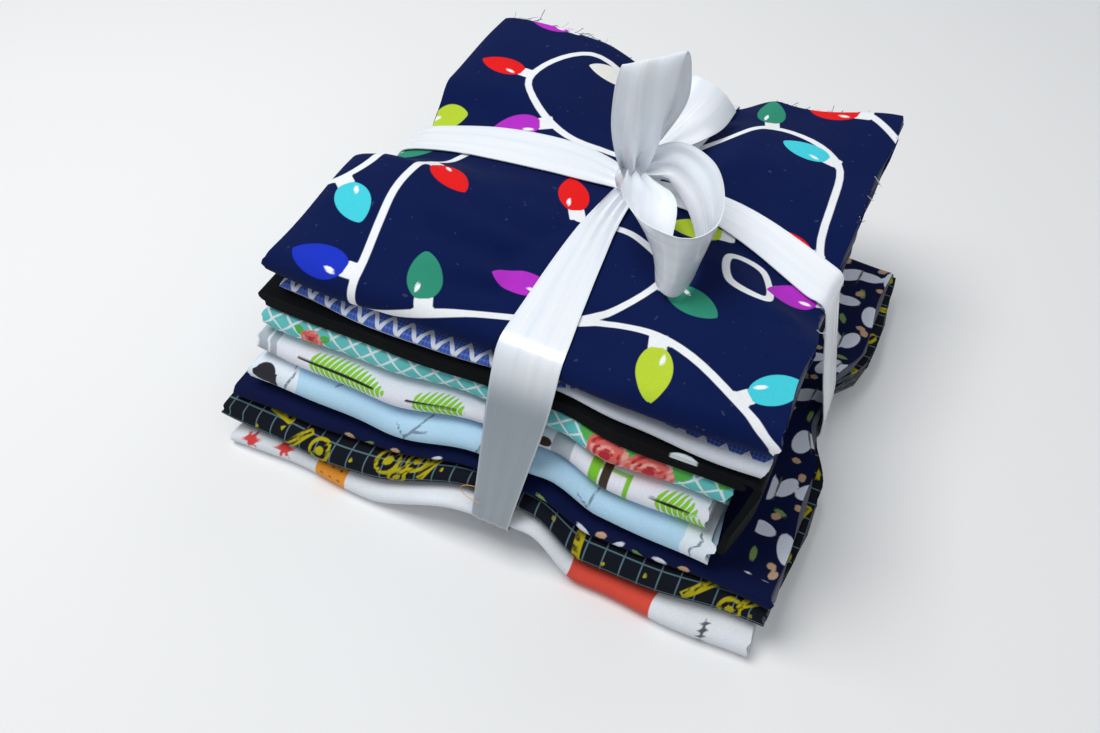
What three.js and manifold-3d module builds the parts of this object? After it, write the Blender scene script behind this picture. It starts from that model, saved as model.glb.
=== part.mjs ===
// A stack of nine folded cotton cloths, tied crosswise with a satin ribbon and a bow.
// Millimetres, +Z up, the front folds face -Y.
import * as THREE from 'three'
import Module from 'manifold-3d'

// Driving sizes of the stack
const TOP_HEIGHT = 88
const CLOTH_GAP = 0.9
const TOP_GAP = 1.1
const LAYER_FILL = 0.8
const FOLD_DEPTH_SHARE = 0.5
const FRONT_DRAWN = 3.5
const END_DRAWN = 3
const LOW_END_DRAWN = 8
const TIE_HALF = 13
const TIE_FADE = 24
const TIE_FADE_LEFT = 42
const CROSS_TIE_Y = 8
const CROSS_TIE_LEFT = 8
const CROSS_TIE_RIGHT = 25
const LENGTH_TIE_X = 7

// Driving sizes of the ribbon
const RIBBON_THICK = 1.0
const RIBBON_GAP = 1.1
const RIBBON_STEP = 9
const EDGE_REACH = 4
const KNOT = { x: 5, y: 1, radiusX: 8, radiusY: 7, radiusZ: 6.5 }

// Lines that all cloths share, so that neighbours bend alike
const LINES_X = [-140, -70, -30, -6, 20, 44, 74, 140]
const LINES_Y = [-140, -94, -40, -8, 20, 46, 78, 110]
const TOP_LINES_X = [-84, -66, -46, -30, -6, 20, 44, 60, 76, 88]
const TOP_LINES_Y = [-82, -61, -40, -24, -8, 20, 46, 72]

// One row per cloth from the floor up. left, right, front and back are the edges; turn is how
// much further the right edge lies at the back, slant how much further the front edge lies at
// the left, splay how much further the left edge lies at the front; round is how much of the
// thickness is left at the soft left-hand end. The lowest cloth stays flat on the floor there.
const CLOTHS = [
  { name: 'bottom_cloth', thick: 9.5, left: -113, right: 110, front: -125, back: 80, turn: 4, slant: 4,
    layers: 4, round: 0.6, wave: 1.2, colour: '#dfe4ee' },
  { name: 'grid_cloth', thick: 10.5, left: -119, right: 114, front: -118, back: 82, turn: 9, slant: 8,
    layers: 4, round: 0.7, wave: 1.6, colour: '#0c0f18' },
  { name: 'petal_cloth', thick: 7, left: -113, right: 111, front: -114, back: 76, turn: 8, slant: 4,
    layers: 4, round: 0.8, wave: 1.0, colour: '#121a52' },
  { name: 'sky_cloth', thick: 13, left: -108, right: 87, front: -112, back: 80, turn: -3, slant: 2,
    layers: 4, round: 0.75, wave: 1.0, colour: '#a9cde8' },
  { name: 'fern_cloth', thick: 11, left: -106, right: 82, front: -106, back: 84, turn: -2, slant: 2,
    layers: 4, round: 0.9, wave: 0.8, colour: '#e6ecf2' },
  { name: 'lattice_cloth', thick: 12, left: -103, right: 85, front: -102, back: 80, turn: -2, slant: 0,
    layers: 4, round: 0.6, wave: 1.2, colour: '#69bfc4' },
  { name: 'black_cloth', thick: 8, left: -105, right: 89.5, front: -100, back: 84, turn: 0, slant: 0,
    layers: 3, round: 1, wave: 0.6, colour: '#08090c' },
  { name: 'zigzag_cloth', thick: 5.5, left: -95, right: 93, front: -98, back: 90, turn: 0, slant: 0,
    layers: 2, round: 0.4, wave: 1.0, colour: '#3f62b8' },
  { name: 'top_cloth', thick: 13.5, left: -96, right: 95, front: -97, back: 97, turn: 1, slant: 1,
    layers: 4, splay: 4, round: 0.7, wave: 1.4, colour: '#10164a' },
]

// Soft swellings and hollows of the top between the ties
const SWELLINGS = [
  { x: -72, y: -48, rise: 9, spread: 28 },
  { x: 58, y: -58, rise: 3, spread: 30 },
  { x: -60, y: 62, rise: 2.5, spread: 30 },
  { x: 58, y: 35, rise: 2, spread: 26 },
  { x: 50, y: 100, rise: -5, spread: 20 },
  { x: 97, y: 97, rise: 5, spread: 20 },
]

// The ribbon round the stack. turn is the angle about the stack's middle, seen along the other
// tie; across is where the band's middle lies and width how wide it lies there.
const LENGTH_TIE = [
  { turn: -90, across: 8, width: 24 },
  { turn: -30, across: 12, width: 24 },
  { turn: 19, across: 14, width: 23 },
  { turn: 45, across: 12, width: 17 },
  { turn: 77, across: 4.5, width: 10 },
  { turn: 110, across: 3, width: 14 },
  { turn: 135, across: 4, width: 18.5 },
  { turn: 147, across: 5, width: 21.5 },
  { turn: 154, across: 6, width: 25 },
  { turn: 168, across: 6.5, width: 24 },
  { turn: 196, across: 6, width: 14 },
  { turn: 230, across: 7, width: 20 },
  { turn: 270, across: 8, width: 24 },
]
const CROSS_TIE = [
  { turn: -90, across: 8, width: 24 },
  { turn: -46, across: 7.5, width: 24 },
  { turn: -32, across: -4, width: 23 },
  { turn: -22, across: -14, width: 22 },
  { turn: -10, across: -17, width: 21 },
  { turn: 5, across: -18.5, width: 23 },
  { turn: 21, across: -15, width: 23 },
  { turn: 30, across: -3.5, width: 20.5 },
  { turn: 37, across: 2.5, width: 19 },
  { turn: 47, across: 8, width: 16.5 },
  { turn: 66, across: 6.5, width: 13 },
  { turn: 84, across: 5, width: 11 },
  { turn: 104, across: 8, width: 20 },
  { turn: 125, across: 8.5, width: 23.5 },
  { turn: 142, across: 6, width: 23 },
  { turn: 158, across: 2, width: 18 },
  { turn: 166, across: 0.5, width: 17 },
  { turn: 185, across: 0, width: 20 },
  { turn: 204, across: 1, width: 22 },
  { turn: 225, across: 5, width: 24 },
  { turn: 270, across: 8, width: 24 },
]

// Bow bands. x, y, z is the middle of the band, sx, sy, sz points across it,
// cup is how far its middle is pushed out.
const UPRIGHT_LOOP = [
  { x: 6, y: 0, z: 97, sx: 0.7, sy: 0.7, sz: 0, width: 8, cup: 0 },
  { x: 6, y: 0, z: 109, sx: 0.69, sy: 0.72, sz: 0, width: 17, cup: 1 },
  { x: 5, y: 1, z: 123, sx: 0.69, sy: 0.72, sz: 0, width: 23, cup: 1.5 },
  { x: 5, y: 3, z: 137, sx: 0.67, sy: 0.74, sz: 0.05, width: 25, cup: 0.5 },
  { x: 4, y: 7, z: 143, sx: 0.64, sy: 0.77, sz: 0.03, width: 26, cup: 0 },
  { x: 1, y: 11, z: 138, sx: 0.67, sy: 0.74, sz: 0, width: 25, cup: 0.5 },
  { x: 0, y: 11, z: 122, sx: 0.7, sy: 0.7, sz: 0, width: 21, cup: 1 },
  { x: 2, y: 8, z: 108, sx: 0.7, sy: 0.7, sz: 0, width: 13, cup: 1 },
  { x: 4, y: 4, z: 98, sx: 0.7, sy: 0.7, sz: 0, width: 8, cup: 0 },
]
const FRONT_LOOP = [
  { x: 8, y: 2, z: 98, sx: 0.2, sy: 0.6, sz: 0.75, width: 8, cup: 0 },
  { x: 21, y: 4, z: 104, sx: 0.1, sy: 0.4, sz: 0.9, width: 16, cup: 0 },
  { x: 34, y: -5, z: 105, sx: 0.25, sy: 0.25, sz: 0.9, width: 21, cup: 0 },
  { x: 43, y: -20, z: 105, sx: 0.25, sy: 0.1, sz: 0.92, width: 23, cup: 0 },
  { x: 48, y: -39, z: 105.5, sx: 0.15, sy: 0, sz: 0.97, width: 24, cup: 0 },
  { x: 43, y: -53, z: 106, sx: -0.05, sy: 0.1, sz: 0.98, width: 25, cup: 0 },
  { x: 31, y: -49, z: 106.5, sx: -0.3, sy: 0, sz: 0.93, width: 24, cup: 0 },
  { x: 20, y: -32, z: 106, sx: -0.65, sy: 0.1, sz: 0.7, width: 20, cup: 0 },
  { x: 12, y: -14, z: 102, sx: -0.75, sy: 0.1, sz: 0.6, width: 14, cup: 0 },
  { x: 7, y: -3, z: 98, sx: -0.8, sy: 0.2, sz: 0.5, width: 8, cup: 0 },
]
const FREE_END = [
  { x: 6, y: 3, z: 97, sx: 0.95, sy: -0.3, sz: 0, width: 8, cup: 0 },
  { x: 10, y: 25, z: 94.5, sx: 0.95, sy: -0.25, sz: -0.08, width: 14, cup: 0.5 },
  { x: 14, y: 44, z: 93, sx: 0.92, sy: -0.2, sz: -0.25, width: 19, cup: 1.5 },
  { x: 17, y: 58, z: 93.5, sx: 0.88, sy: -0.1, sz: -0.4, width: 23, cup: 3 },
  { x: 18, y: 69, z: 96, sx: 0.85, sy: 0, sz: -0.5, width: 25, cup: 4 },
]

const clamp = (v, low, high) => Math.min(Math.max(v, low), high)
const lerp = (a, b, t) => a + (b - a) * t
const ease = (t) => t * t * (3 - 2 * t)

// 1 under a tie, falling to 0 where the cloth is free of it
function tieHold(offset, fade = TIE_FADE) {
  return 1 - ease(clamp((Math.abs(offset) - TIE_HALF) / fade, 0, 1))
}

// Hold of the tie that runs from front to back, wider on its left
function lengthHold(x) {
  return tieHold(x - LENGTH_TIE_X, x < LENGTH_TIE_X ? TIE_FADE_LEFT : TIE_FADE)
}

// The cross tie swings forward towards both ends, most on the right
function crossTieY(x) {
  const right = CROSS_TIE_RIGHT * ease(clamp((x - 42) / 58, 0, 1))
  const left = CROSS_TIE_LEFT * ease(clamp((-20 - x) / 80, 0, 1))
  return CROSS_TIE_Y - right - left
}

// Height of the top face, drawn down by the ties most at the edges
function topHeight(x, y) {
  let swell = 0
  for (const s of SWELLINGS) {
    swell += s.rise * Math.exp(-((x - s.x) ** 2 + (y - s.y) ** 2) / (2 * s.spread ** 2))
  }
  const crossDip = x < 0 ? 2 + 11 * (x / 95) ** 2 : 2 + 5 * (x / 95) ** 2
  const lengthDip = y < 0 ? 2 + 3 * (y / 97) ** 2 : 2 + 11 * (y / 95) ** 2
  const cross = tieHold(y - crossTieY(x)) * crossDip
  const length = lengthHold(x) * lengthDip
  return TOP_HEIGHT + swell - Math.max(cross, length)
}

// Height of the underside, flat on the floor between the ties
function bottomHeight(x, y) {
  const crossLift = 3.2 + 5 * (x / 115) ** 2
  const lengthLift = y < 0 ? 3.2 + 11 * (y / 120) ** 2 : 3.2 + 5 * (y / 80) ** 2
  const cross = tieHold(y - crossTieY(x)) * crossLift
  const length = lengthHold(x) * lengthLift
  return Math.max(cross, length)
}

// The same height, straight between the shared lines
function straightBetweenLines(height) {
  return (x, y) => {
    const i = clamp(LINES_X.findIndex((v) => v > x) - 1, 0, LINES_X.length - 2)
    const j = clamp(LINES_Y.findIndex((v) => v > y) - 1, 0, LINES_Y.length - 2)
    const u = (x - LINES_X[i]) / (LINES_X[i + 1] - LINES_X[i])
    const v = (y - LINES_Y[j]) / (LINES_Y[j + 1] - LINES_Y[j])
    const near = lerp(height(LINES_X[i], LINES_Y[j]), height(LINES_X[i + 1], LINES_Y[j]), u)
    const far = lerp(height(LINES_X[i], LINES_Y[j + 1]), height(LINES_X[i + 1], LINES_Y[j + 1]), u)
    return lerp(near, far, v)
  }
}
const stackTop = straightBetweenLines(topHeight)
const stackBottom = straightBetweenLines(bottomHeight)

// Closed outline of a layer that follows a middle line: [along, up] pairs in millimetres
function thicken(line, half) {
  const left = []
  const right = []
  for (let i = 0; i < line.length; i++) {
    const a = line[Math.max(i - 1, 0)]
    const b = line[i]
    const c = line[Math.min(i + 1, line.length - 1)]
    const before = new THREE.Vector2(b[0] - a[0], b[1] - a[1]).normalize()
    const after = new THREE.Vector2(c[0] - b[0], c[1] - b[1]).normalize()
    const along = before.clone().add(after).normalize()
    const stretch = half / Math.max(along.dot(i > 0 ? before : after), 0.5)
    left.push(new THREE.Vector2(b[0] - along.y * stretch, b[1] + along.x * stretch))
    right.push(new THREE.Vector2(b[0] + along.y * stretch, b[1] - along.x * stretch))
  }
  const outline = left.concat(right.reverse())
  return THREE.ShapeUtils.isClockWise(outline) ? outline.reverse() : outline
}

// Half the thickness of one layer
function halfLayer(cloth) {
  return (LAYER_FILL / cloth.layers) * cloth.thick * 0.5
}

// Half turn of a fold from height a to height b, bulging by depth
function foldTurn(at, a, b, depth, steps) {
  const points = []
  for (let i = 1; i < steps; i++) {
    const angle = -Math.PI / 2 + (Math.PI * i) / steps
    points.push([at + depth * Math.cos(angle), (a + b) / 2 + ((b - a) / 2) * Math.sin(angle)])
  }
  return points
}

// Back-and-forth middle line of a cloth. start is the fold's end, end the loose end,
// lines are the shared lines between them.
function foldedLine(cloth, start, end, lines) {
  const thick = cloth.thick
  const half = halfLayer(cloth)
  const low = half
  const high = thick - half
  const forth = (z, from, to) => [from, ...lines, to].map((u) => [u, z])
  const back = (z, from, to) => forth(z, to, from).reverse()
  if (cloth.layers === 2) {
    const depth = FOLD_DEPTH_SHARE * thick
    const turnAt = start + depth + half
    return [...back(low, end, turnAt), ...foldTurn(turnAt, low, high, -depth, 6), ...forth(high, turnAt, end)]
  }
  const pitch = (high - low) / 3
  const outer = FOLD_DEPTH_SHARE * (high - low)
  const inner = outer / 3
  const outerAt = start + outer + half
  const innerAt = outerAt + pitch * 0.3
  const backAt = end - pitch * 0.5 - half
  return [
    ...back(low, end, outerAt),
    ...foldTurn(outerAt, low, high, -outer, 6),
    ...forth(high, outerAt, backAt),
    ...foldTurn(backAt, high, high - pitch, pitch * 0.5, 4),
    ...back(high - pitch, backAt, innerAt),
    ...foldTurn(innerAt, high - pitch, low + pitch, -inner, 4),
    ...forth(low + pitch, innerAt, end),
  ]
}

// Middle line of the black cloth, folded from side to side; its last layer hangs over the end
function hangingLine(cloth, start, end, lines) {
  const half = halfLayer(cloth)
  const low = half
  const high = cloth.thick - half
  const middle = (low + high) / 2
  const turn = (middle - low) / 2
  const leftAt = start + turn + half
  const rightAt = end - turn - half
  const forth = (z, from, to) => [from, ...lines, to].map((u) => [u, z])
  return [
    ...forth(low, start + 6, rightAt),
    ...foldTurn(rightAt, low, middle, turn, 4),
    ...forth(middle, leftAt, rightAt).reverse(),
    ...foldTurn(leftAt, middle, high, -turn, 4),
    ...forth(high, leftAt, end + 1.5),
    [end + 3, high - 0.8],
    [end + 4.2, high - 4],
    [end + 4.5, -4],
    [end + 5, -18],
    [end + 5, -33],
  ]
}

// Skin between stations of one outline, closed at both ends; its faces are split the same
// way on both sides of a layer, so that neighbours stay apart
function skin(stations, outline, place) {
  const positions = []
  const index = []
  const n = outline.length
  for (const station of stations) {
    for (const point of outline) {
      const p = place(station, point)
      positions.push(p.x, p.y, p.z)
    }
  }
  for (let i = 0; i + 1 < stations.length; i++) {
    for (let j = 0; j < n; j++) {
      const a = i * n + j
      const b = i * n + ((j + 1) % n)
      const rising = outline[(j + 1) % n].x >= outline[j].x
      if (rising) index.push(a, b, b + n, a, b + n, a + n)
      else index.push(a, b, a + n, b, b + n, a + n)
    }
  }
  const last = (stations.length - 1) * n
  for (let k = 0; k + 1 < n / 2; k++) {
    const [a, b, c, d] = [k, k + 1, n - 2 - k, n - 1 - k]
    index.push(a, c, b, a, d, c)
    index.push(last + a, last + b, last + c, last + a, last + c, last + d)
  }
  return closedGeometry(positions, index)
}

// Geometry with its faces turned outward
function closedGeometry(positions, index) {
  let volume = 0
  const corner = (k) => new THREE.Vector3().fromArray(positions, index[k] * 3)
  for (let k = 0; k < index.length; k += 3) {
    volume += corner(k).dot(corner(k + 1).cross(corner(k + 2)))
  }
  if (volume < 0) {
    for (let k = 0; k < index.length; k += 3) {
      const swap = index[k + 1]
      index[k + 1] = index[k + 2]
      index[k + 2] = swap
    }
  }
  const geometry = new THREE.BufferGeometry()
  geometry.setAttribute('position', new THREE.Float32BufferAttribute(positions, 3))
  geometry.setIndex(index)
  return geometry
}

// Lower and upper face of a cloth in the stack
function clothFaces(number) {
  const total = CLOTHS.reduce((sum, c) => sum + c.thick, 0)
  const below = CLOTHS.slice(0, number).reduce((sum, c) => sum + c.thick, 0) / total
  const above = below + CLOTHS[number].thick / total
  const level = (x, y, share) => lerp(stackBottom(x, y), stackTop(x, y), share)
  const isTop = number === CLOTHS.length - 1
  return {
    low: (x, y) => level(x, y, below) + (number > 0 ? CLOTH_GAP / 2 : 0) + (isTop ? TOP_GAP : 0),
    high: (x, y) => (isTop ? topHeight(x, y) : level(x, y, above) - CLOTH_GAP / 2),
  }
}

// A cloth folded at the front, its section carried from left to right
function frontFoldedCloth(cloth, number) {
  const isTop = number === CLOTHS.length - 1
  const linesX = isTop ? TOP_LINES_X : LINES_X
  const linesY = isTop ? TOP_LINES_Y : LINES_Y
  const inner = linesY.filter((v) => v > cloth.front + 14 && v < cloth.back - 8)
  const outline = thicken(foldedLine(cloth, cloth.front, cloth.back, inner), halfLayer(cloth))
  const faces = clothFaces(number)
  const stations = [
    { x: cloth.left, hold: cloth.round, end: -1 },
    { x: cloth.left + 5, hold: lerp(cloth.round, 1, 0.75) },
  ]
  for (const x of linesX) {
    if (x > cloth.left + 9 && x < cloth.right - 3) stations.push({ x, hold: 1 })
  }
  stations.push({ x: cloth.right, hold: 1, end: 1 })
  const place = (station, point) => {
    const share = (station.x - cloth.left) / (cloth.right - cloth.left)
    const near = clamp((cloth.front + 40 - point.x) / 40, 0, 1)
    const drawn = FRONT_DRAWN * lengthHold(station.x)
    const ripple = cloth.wave * Math.sin(station.x / 19 + number * 1.9)
    const y = point.x + near * (drawn + ripple - cloth.slant * (1 - share))
    let x = station.x
    if (station.end) {
      const depth = (y - cloth.front) / (cloth.back - cloth.front)
      const pull = station.end > 0 && number < 3 ? LOW_END_DRAWN : END_DRAWN
      const drawnIn = pull * tieHold(y - crossTieY(x)) + cloth.wave * Math.sin(y / 17 + number * 2.3)
      x -= station.end * drawnIn
      x += station.end > 0 ? cloth.turn * depth : -(cloth.splay ?? 0) * (1 - depth)
    }
    const flat = number === 0 ? 0 : 0.5
    const up = flat + (point.y / cloth.thick - flat) * station.hold
    return { x, y, z: lerp(faces.low(x, y), faces.high(x, y), up) }
  }
  return skin(stations, outline, place)
}

// The black cloth, folded from side to side, its section carried from front to back
function sideFoldedCloth(cloth, number) {
  const inner = LINES_X.filter((v) => v > cloth.left + 8 && v < cloth.right - 8)
  const outline = thicken(hangingLine(cloth, cloth.left, cloth.right, inner), halfLayer(cloth))
  const faces = clothFaces(number)
  const inside = LINES_Y.filter((v) => v > cloth.front + 4 && v < cloth.back - 8)
  const stations = [cloth.front, ...inside, cloth.back]
  const place = (station, point) => {
    const x = point.x + (point.x < cloth.left + 20 ? 5 * ease((station - cloth.front) / 190) : 0)
    const drawn = station === cloth.front ? FRONT_DRAWN * lengthHold(point.x) : 0
    const y = station + drawn
    const up = point.y / cloth.thick
    const at = Math.min(x, cloth.right + 4)
    return { x, y, z: lerp(faces.low(at, y), faces.high(at, y), up) }
  }
  return skin(stations, outline, place)
}

const bundle = new THREE.Group()
bundle.name = 'fabric_bundle'

function addMesh(name, geometry, colour, roughness) {
  const material = new THREE.MeshStandardMaterial({ color: colour, roughness, metalness: 0 })
  const mesh = new THREE.Mesh(geometry, material)
  mesh.name = name
  bundle.add(mesh)
  return mesh
}

CLOTHS.forEach((cloth, number) => {
  const folded = cloth.name === 'black_cloth' ? sideFoldedCloth : frontFoldedCloth
  addMesh(cloth.name, folded(cloth, number), cloth.colour, 0.9)
})

// Points spread over the faces of all cloths
function facePoints(visit) {
  const parts = 5
  const p = new THREE.Vector3()
  for (const mesh of bundle.children) {
    const position = mesh.geometry.getAttribute('position')
    const index = mesh.geometry.getIndex()
    for (let k = 0; k < index.count; k += 3) {
      const corner = (m) => new THREE.Vector3().fromBufferAttribute(position, index.getX(k + m))
      const [a, b, c] = [corner(0), corner(1), corner(2)]
      for (let i = 0; i <= parts; i++) {
        for (let j = 0; i + j <= parts; j++) {
          p.set(0, 0, 0).addScaledVector(a, i / parts).addScaledVector(b, j / parts)
          visit(p.addScaledVector(c, (parts - i - j) / parts))
        }
      }
    }
  }
}

// Value of a column of a tie table at an angle in degrees
function tieValue(table, turn, column) {
  const angle = turn < -90 ? turn + 360 : turn
  const k = clamp(table.findIndex((row) => row.turn > angle) - 1, 0, table.length - 2)
  const share = clamp((angle - table[k].turn) / (table[k + 1].turn - table[k].turn), 0, 1)
  return lerp(table[k][column], table[k + 1][column], ease(share))
}

// Tight outline round a set of [u, z] points, counter-clockwise
function tightOutline(points) {
  const sorted = points.sort((a, b) => a[0] - b[0] || a[1] - b[1])
  const half = (list) => {
    const kept = []
    for (const p of list) {
      while (kept.length > 1) {
        const [a, b] = kept.slice(-2)
        if ((b[0] - a[0]) * (p[1] - a[1]) - (b[1] - a[1]) * (p[0] - a[0]) > 0) break
        kept.pop()
      }
      kept.push(p)
    }
    return kept.slice(0, -1)
  }
  return half(sorted).concat(half(sorted.slice().reverse()))
}

// The outline with its long sides divided and its shortest sides left out
function spaced(outline, step) {
  const kept = []
  outline.forEach(([u, z], i) => {
    const p = new THREE.Vector2(u, z)
    const next = new THREE.Vector2(...outline[(i + 1) % outline.length])
    const last = kept[kept.length - 1]
    if (last && last.distanceTo(p) < step * 0.3) return
    kept.push(p)
    const parts = Math.ceil(p.distanceTo(next) / step)
    for (let k = 1; k < parts; k++) kept.push(p.clone().lerp(next, k / parts))
  })
  return kept
}

// A band drawn tight round the stack; axis is the direction it runs in
function tieBand(table, axis, middle) {
  const points = []
  facePoints((p) => {
    const u = p[axis] - middle
    const across = axis === 'x' ? p.y : p.x
    const turn = THREE.MathUtils.radToDeg(Math.atan2(p.z - TOP_HEIGHT / 2, u))
    const reach = tieValue(table, turn, 'width') / 2 + EDGE_REACH
    if (Math.abs(across - tieValue(table, turn, 'across')) < reach) points.push([u, p.z])
  })
  const out = RIBBON_GAP + RIBBON_THICK / 2
  const hull = spaced(tightOutline(points), RIBBON_STEP)
  const path = hull.map((p, i) => {
    const before = hull[(i + hull.length - 1) % hull.length]
    const after = hull[(i + 1) % hull.length]
    const along = after.clone().sub(before).normalize()
    return new THREE.Vector2(p.x + along.y * out, p.y - along.x * out)
  })
  const rows = path.map((q) => {
    const turn = THREE.MathUtils.radToDeg(Math.atan2(q.y - TOP_HEIGHT / 2, q.x))
    const across = tieValue(table, turn, 'across')
    const centre = axis === 'x'
      ? new THREE.Vector3(q.x + middle, across, q.y)
      : new THREE.Vector3(across, q.x + middle, q.y)
    const side = axis === 'x' ? new THREE.Vector3(0, 1, 0) : new THREE.Vector3(1, 0, 0)
    return { centre, side, width: tieValue(table, turn, 'width'), cup: 0 }
  })
  return bandBody(rows, true)
}

// Smooth band through the rows of a bow table
function bowBand(table, steps) {
  const through = (pick) => new THREE.CatmullRomCurve3(table.map(pick), false, 'catmullrom', 0.4)
  const middle = through((r) => new THREE.Vector3(r.x, r.y, r.z))
  const side = through((r) => new THREE.Vector3(r.sx, r.sy, r.sz))
  const shape = through((r) => new THREE.Vector3(r.width, r.cup, 0))
  const rows = []
  for (let i = 0; i <= steps; i++) {
    const t = i / steps
    const { x: width, y: cup } = shape.getPoint(t)
    rows.push({ centre: middle.getPoint(t), side: side.getPoint(t), width, cup })
  }
  return bandBody(rows, false)
}

// Closed band of even thickness along rows of centre, side, width and cup
function bandBody(rows, ring) {
  const across = ring ? [-0.5, 0.5] : [-0.5, -0.2, 0.2, 0.5]
  const m = across.length * 2
  const n = rows.length
  const positions = []
  const index = []
  rows.forEach((row, i) => {
    const before = rows[ring ? (i + n - 1) % n : Math.max(i - 1, 0)].centre
    const after = rows[ring ? (i + 1) % n : Math.min(i + 1, n - 1)].centre
    const along = after.clone().sub(before).normalize()
    const side = row.side.clone().addScaledVector(along, -row.side.dot(along)).normalize()
    const out = new THREE.Vector3().crossVectors(side, along)
    const place = (share, lift) => {
      const bulge = row.cup * (1 - 4 * share * share)
      const p = row.centre.clone().addScaledVector(side, share * row.width)
      p.addScaledVector(out, bulge + lift * RIBBON_THICK)
      positions.push(p.x, p.y, p.z)
    }
    across.forEach((share) => place(share, -0.5))
    across.slice().reverse().forEach((share) => place(share, 0.5))
  })
  const last = ring ? n : n - 1
  for (let i = 0; i < last; i++) {
    for (let j = 0; j < m; j++) {
      const a = i * m + j
      const b = i * m + ((j + 1) % m)
      const c = ((i + 1) % n) * m + j
      const d = ((i + 1) % n) * m + ((j + 1) % m)
      index.push(a, b, c, b, d, c)
    }
  }
  if (!ring) {
    for (let k = 0; k + 1 < across.length; k++) {
      const [a, b, c, d] = [k, k + 1, m - 2 - k, m - 1 - k]
      const e = (n - 1) * m
      index.push(a, c, b, a, d, c, e + a, e + b, e + c, e + a, e + c, e + d)
    }
  }
  return closedGeometry(positions, index)
}

// Knot: a small lump with a few rounded ridges
function knotBody() {
  const geometry = new THREE.SphereGeometry(1, 14, 9)
  geometry.rotateX(Math.PI / 2)
  const base = topHeight(KNOT.x, KNOT.y)
  const position = geometry.getAttribute('position')
  for (let k = 0; k < position.count; k++) {
    const p = new THREE.Vector3().fromBufferAttribute(position, k)
    const ridge = 1 + 0.07 * Math.sin(5 * p.x + 3 * p.z) * (1 - p.z * p.z)
    const x = KNOT.x + p.x * KNOT.radiusX * ridge
    const y = KNOT.y + p.y * KNOT.radiusY * ridge
    position.setXYZ(k, x, y, base + RIBBON_GAP + (1 + p.z) * KNOT.radiusZ)
  }
  return geometry
}

const wasm = await Module()
wasm.setup()

// Joins closed geometries into one body
function join(geometries) {
  let whole = null
  for (const geometry of geometries) {
    const key = (p) => [p.x, p.y, p.z].map((v) => Math.round(v * 1e4)).join(' ')
    const position = geometry.getAttribute('position')
    const index = geometry.getIndex()
    const seen = new Map()
    const points = []
    const place = []
    for (let k = 0; k < position.count; k++) {
      const p = new THREE.Vector3().fromBufferAttribute(position, k)
      if (!seen.has(key(p))) {
        seen.set(key(p), points.length / 3)
        points.push(p.x, p.y, p.z)
      }
      place.push(seen.get(key(p)))
    }
    const triangles = []
    for (let k = 0; k < index.count; k += 3) {
      const [a, b, c] = [0, 1, 2].map((m) => place[index.getX(k + m)])
      if (a !== b && b !== c && a !== c) triangles.push(a, b, c)
    }
    const body = new wasm.Manifold(new wasm.Mesh({
      numProp: 3, vertProperties: new Float32Array(points), triVerts: new Uint32Array(triangles),
    }))
    whole = whole ? whole.add(body) : body
  }
  const { vertProperties, triVerts } = whole.getMesh()
  const joined = new THREE.BufferGeometry()
  joined.setAttribute('position', new THREE.Float32BufferAttribute(vertProperties, 3))
  joined.setIndex(Array.from(triVerts))
  return joined
}

addMesh('ribbon', join([
  tieBand(LENGTH_TIE, 'y', -10),
  tieBand(CROSS_TIE, 'x', 0),
  knotBody(),
  bowBand(UPRIGHT_LOOP, 22),
  bowBand(FRONT_LOOP, 28),
  bowBand(FREE_END, 12),
]), '#eef2f8', 0.35)

// The origin lies on the floor under the middle of the bundle
const box = new THREE.Box3().setFromObject(bundle)
const middle = box.getCenter(new THREE.Vector3())
bundle.children.forEach((mesh) => mesh.geometry.translate(-middle.x, -middle.y, 0))

export default bundle
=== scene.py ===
"""Looks of a tied stack of nine folded printed cottons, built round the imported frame.

The stack's own sizes are millimetres with the front folds towards -Y, as in the solids.
"""
import math

import bpy
import numpy as np
from mathutils import Matrix, Vector


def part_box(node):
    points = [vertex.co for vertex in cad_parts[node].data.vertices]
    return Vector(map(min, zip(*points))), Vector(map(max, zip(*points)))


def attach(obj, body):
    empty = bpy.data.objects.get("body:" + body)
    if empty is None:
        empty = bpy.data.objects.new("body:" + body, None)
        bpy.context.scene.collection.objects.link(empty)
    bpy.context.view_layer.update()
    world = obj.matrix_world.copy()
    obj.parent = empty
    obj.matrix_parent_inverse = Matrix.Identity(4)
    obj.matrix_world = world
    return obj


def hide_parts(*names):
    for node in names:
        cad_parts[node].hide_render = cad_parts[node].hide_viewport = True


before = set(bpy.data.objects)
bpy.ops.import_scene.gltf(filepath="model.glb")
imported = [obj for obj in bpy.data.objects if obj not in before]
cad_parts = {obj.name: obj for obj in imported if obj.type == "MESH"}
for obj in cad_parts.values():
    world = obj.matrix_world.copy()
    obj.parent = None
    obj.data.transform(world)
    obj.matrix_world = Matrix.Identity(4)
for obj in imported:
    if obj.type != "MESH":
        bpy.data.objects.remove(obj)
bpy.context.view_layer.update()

MM = 0.001
RANDOM = np.random.default_rng(7)

# Sizes of the stack
TOP_HEIGHT = 88
CLOTH_GAP = 0.9
TOP_GAP = 1.1
LAYER_FILL = 0.8
BLACK_FILL = 0.97
FOLD_DEPTH_SHARE = 0.5
FRONT_DRAWN = 3.5
END_DRAWN = 3
LOW_END_DRAWN = 8
LOW_CLOTHS = 3
TIE_HALF = 13
TIE_FADE = 24
TIE_FADE_LEFT = 42
CROSS_TIE_Y = 8
CROSS_TIE_LEFT = 8
CROSS_TIE_RIGHT = 25
CROSS_TIE_LEFT_START = 20
CROSS_TIE_RIGHT_START = 42
CROSS_TIE_END = 100
LENGTH_TIE_X = 7

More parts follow.
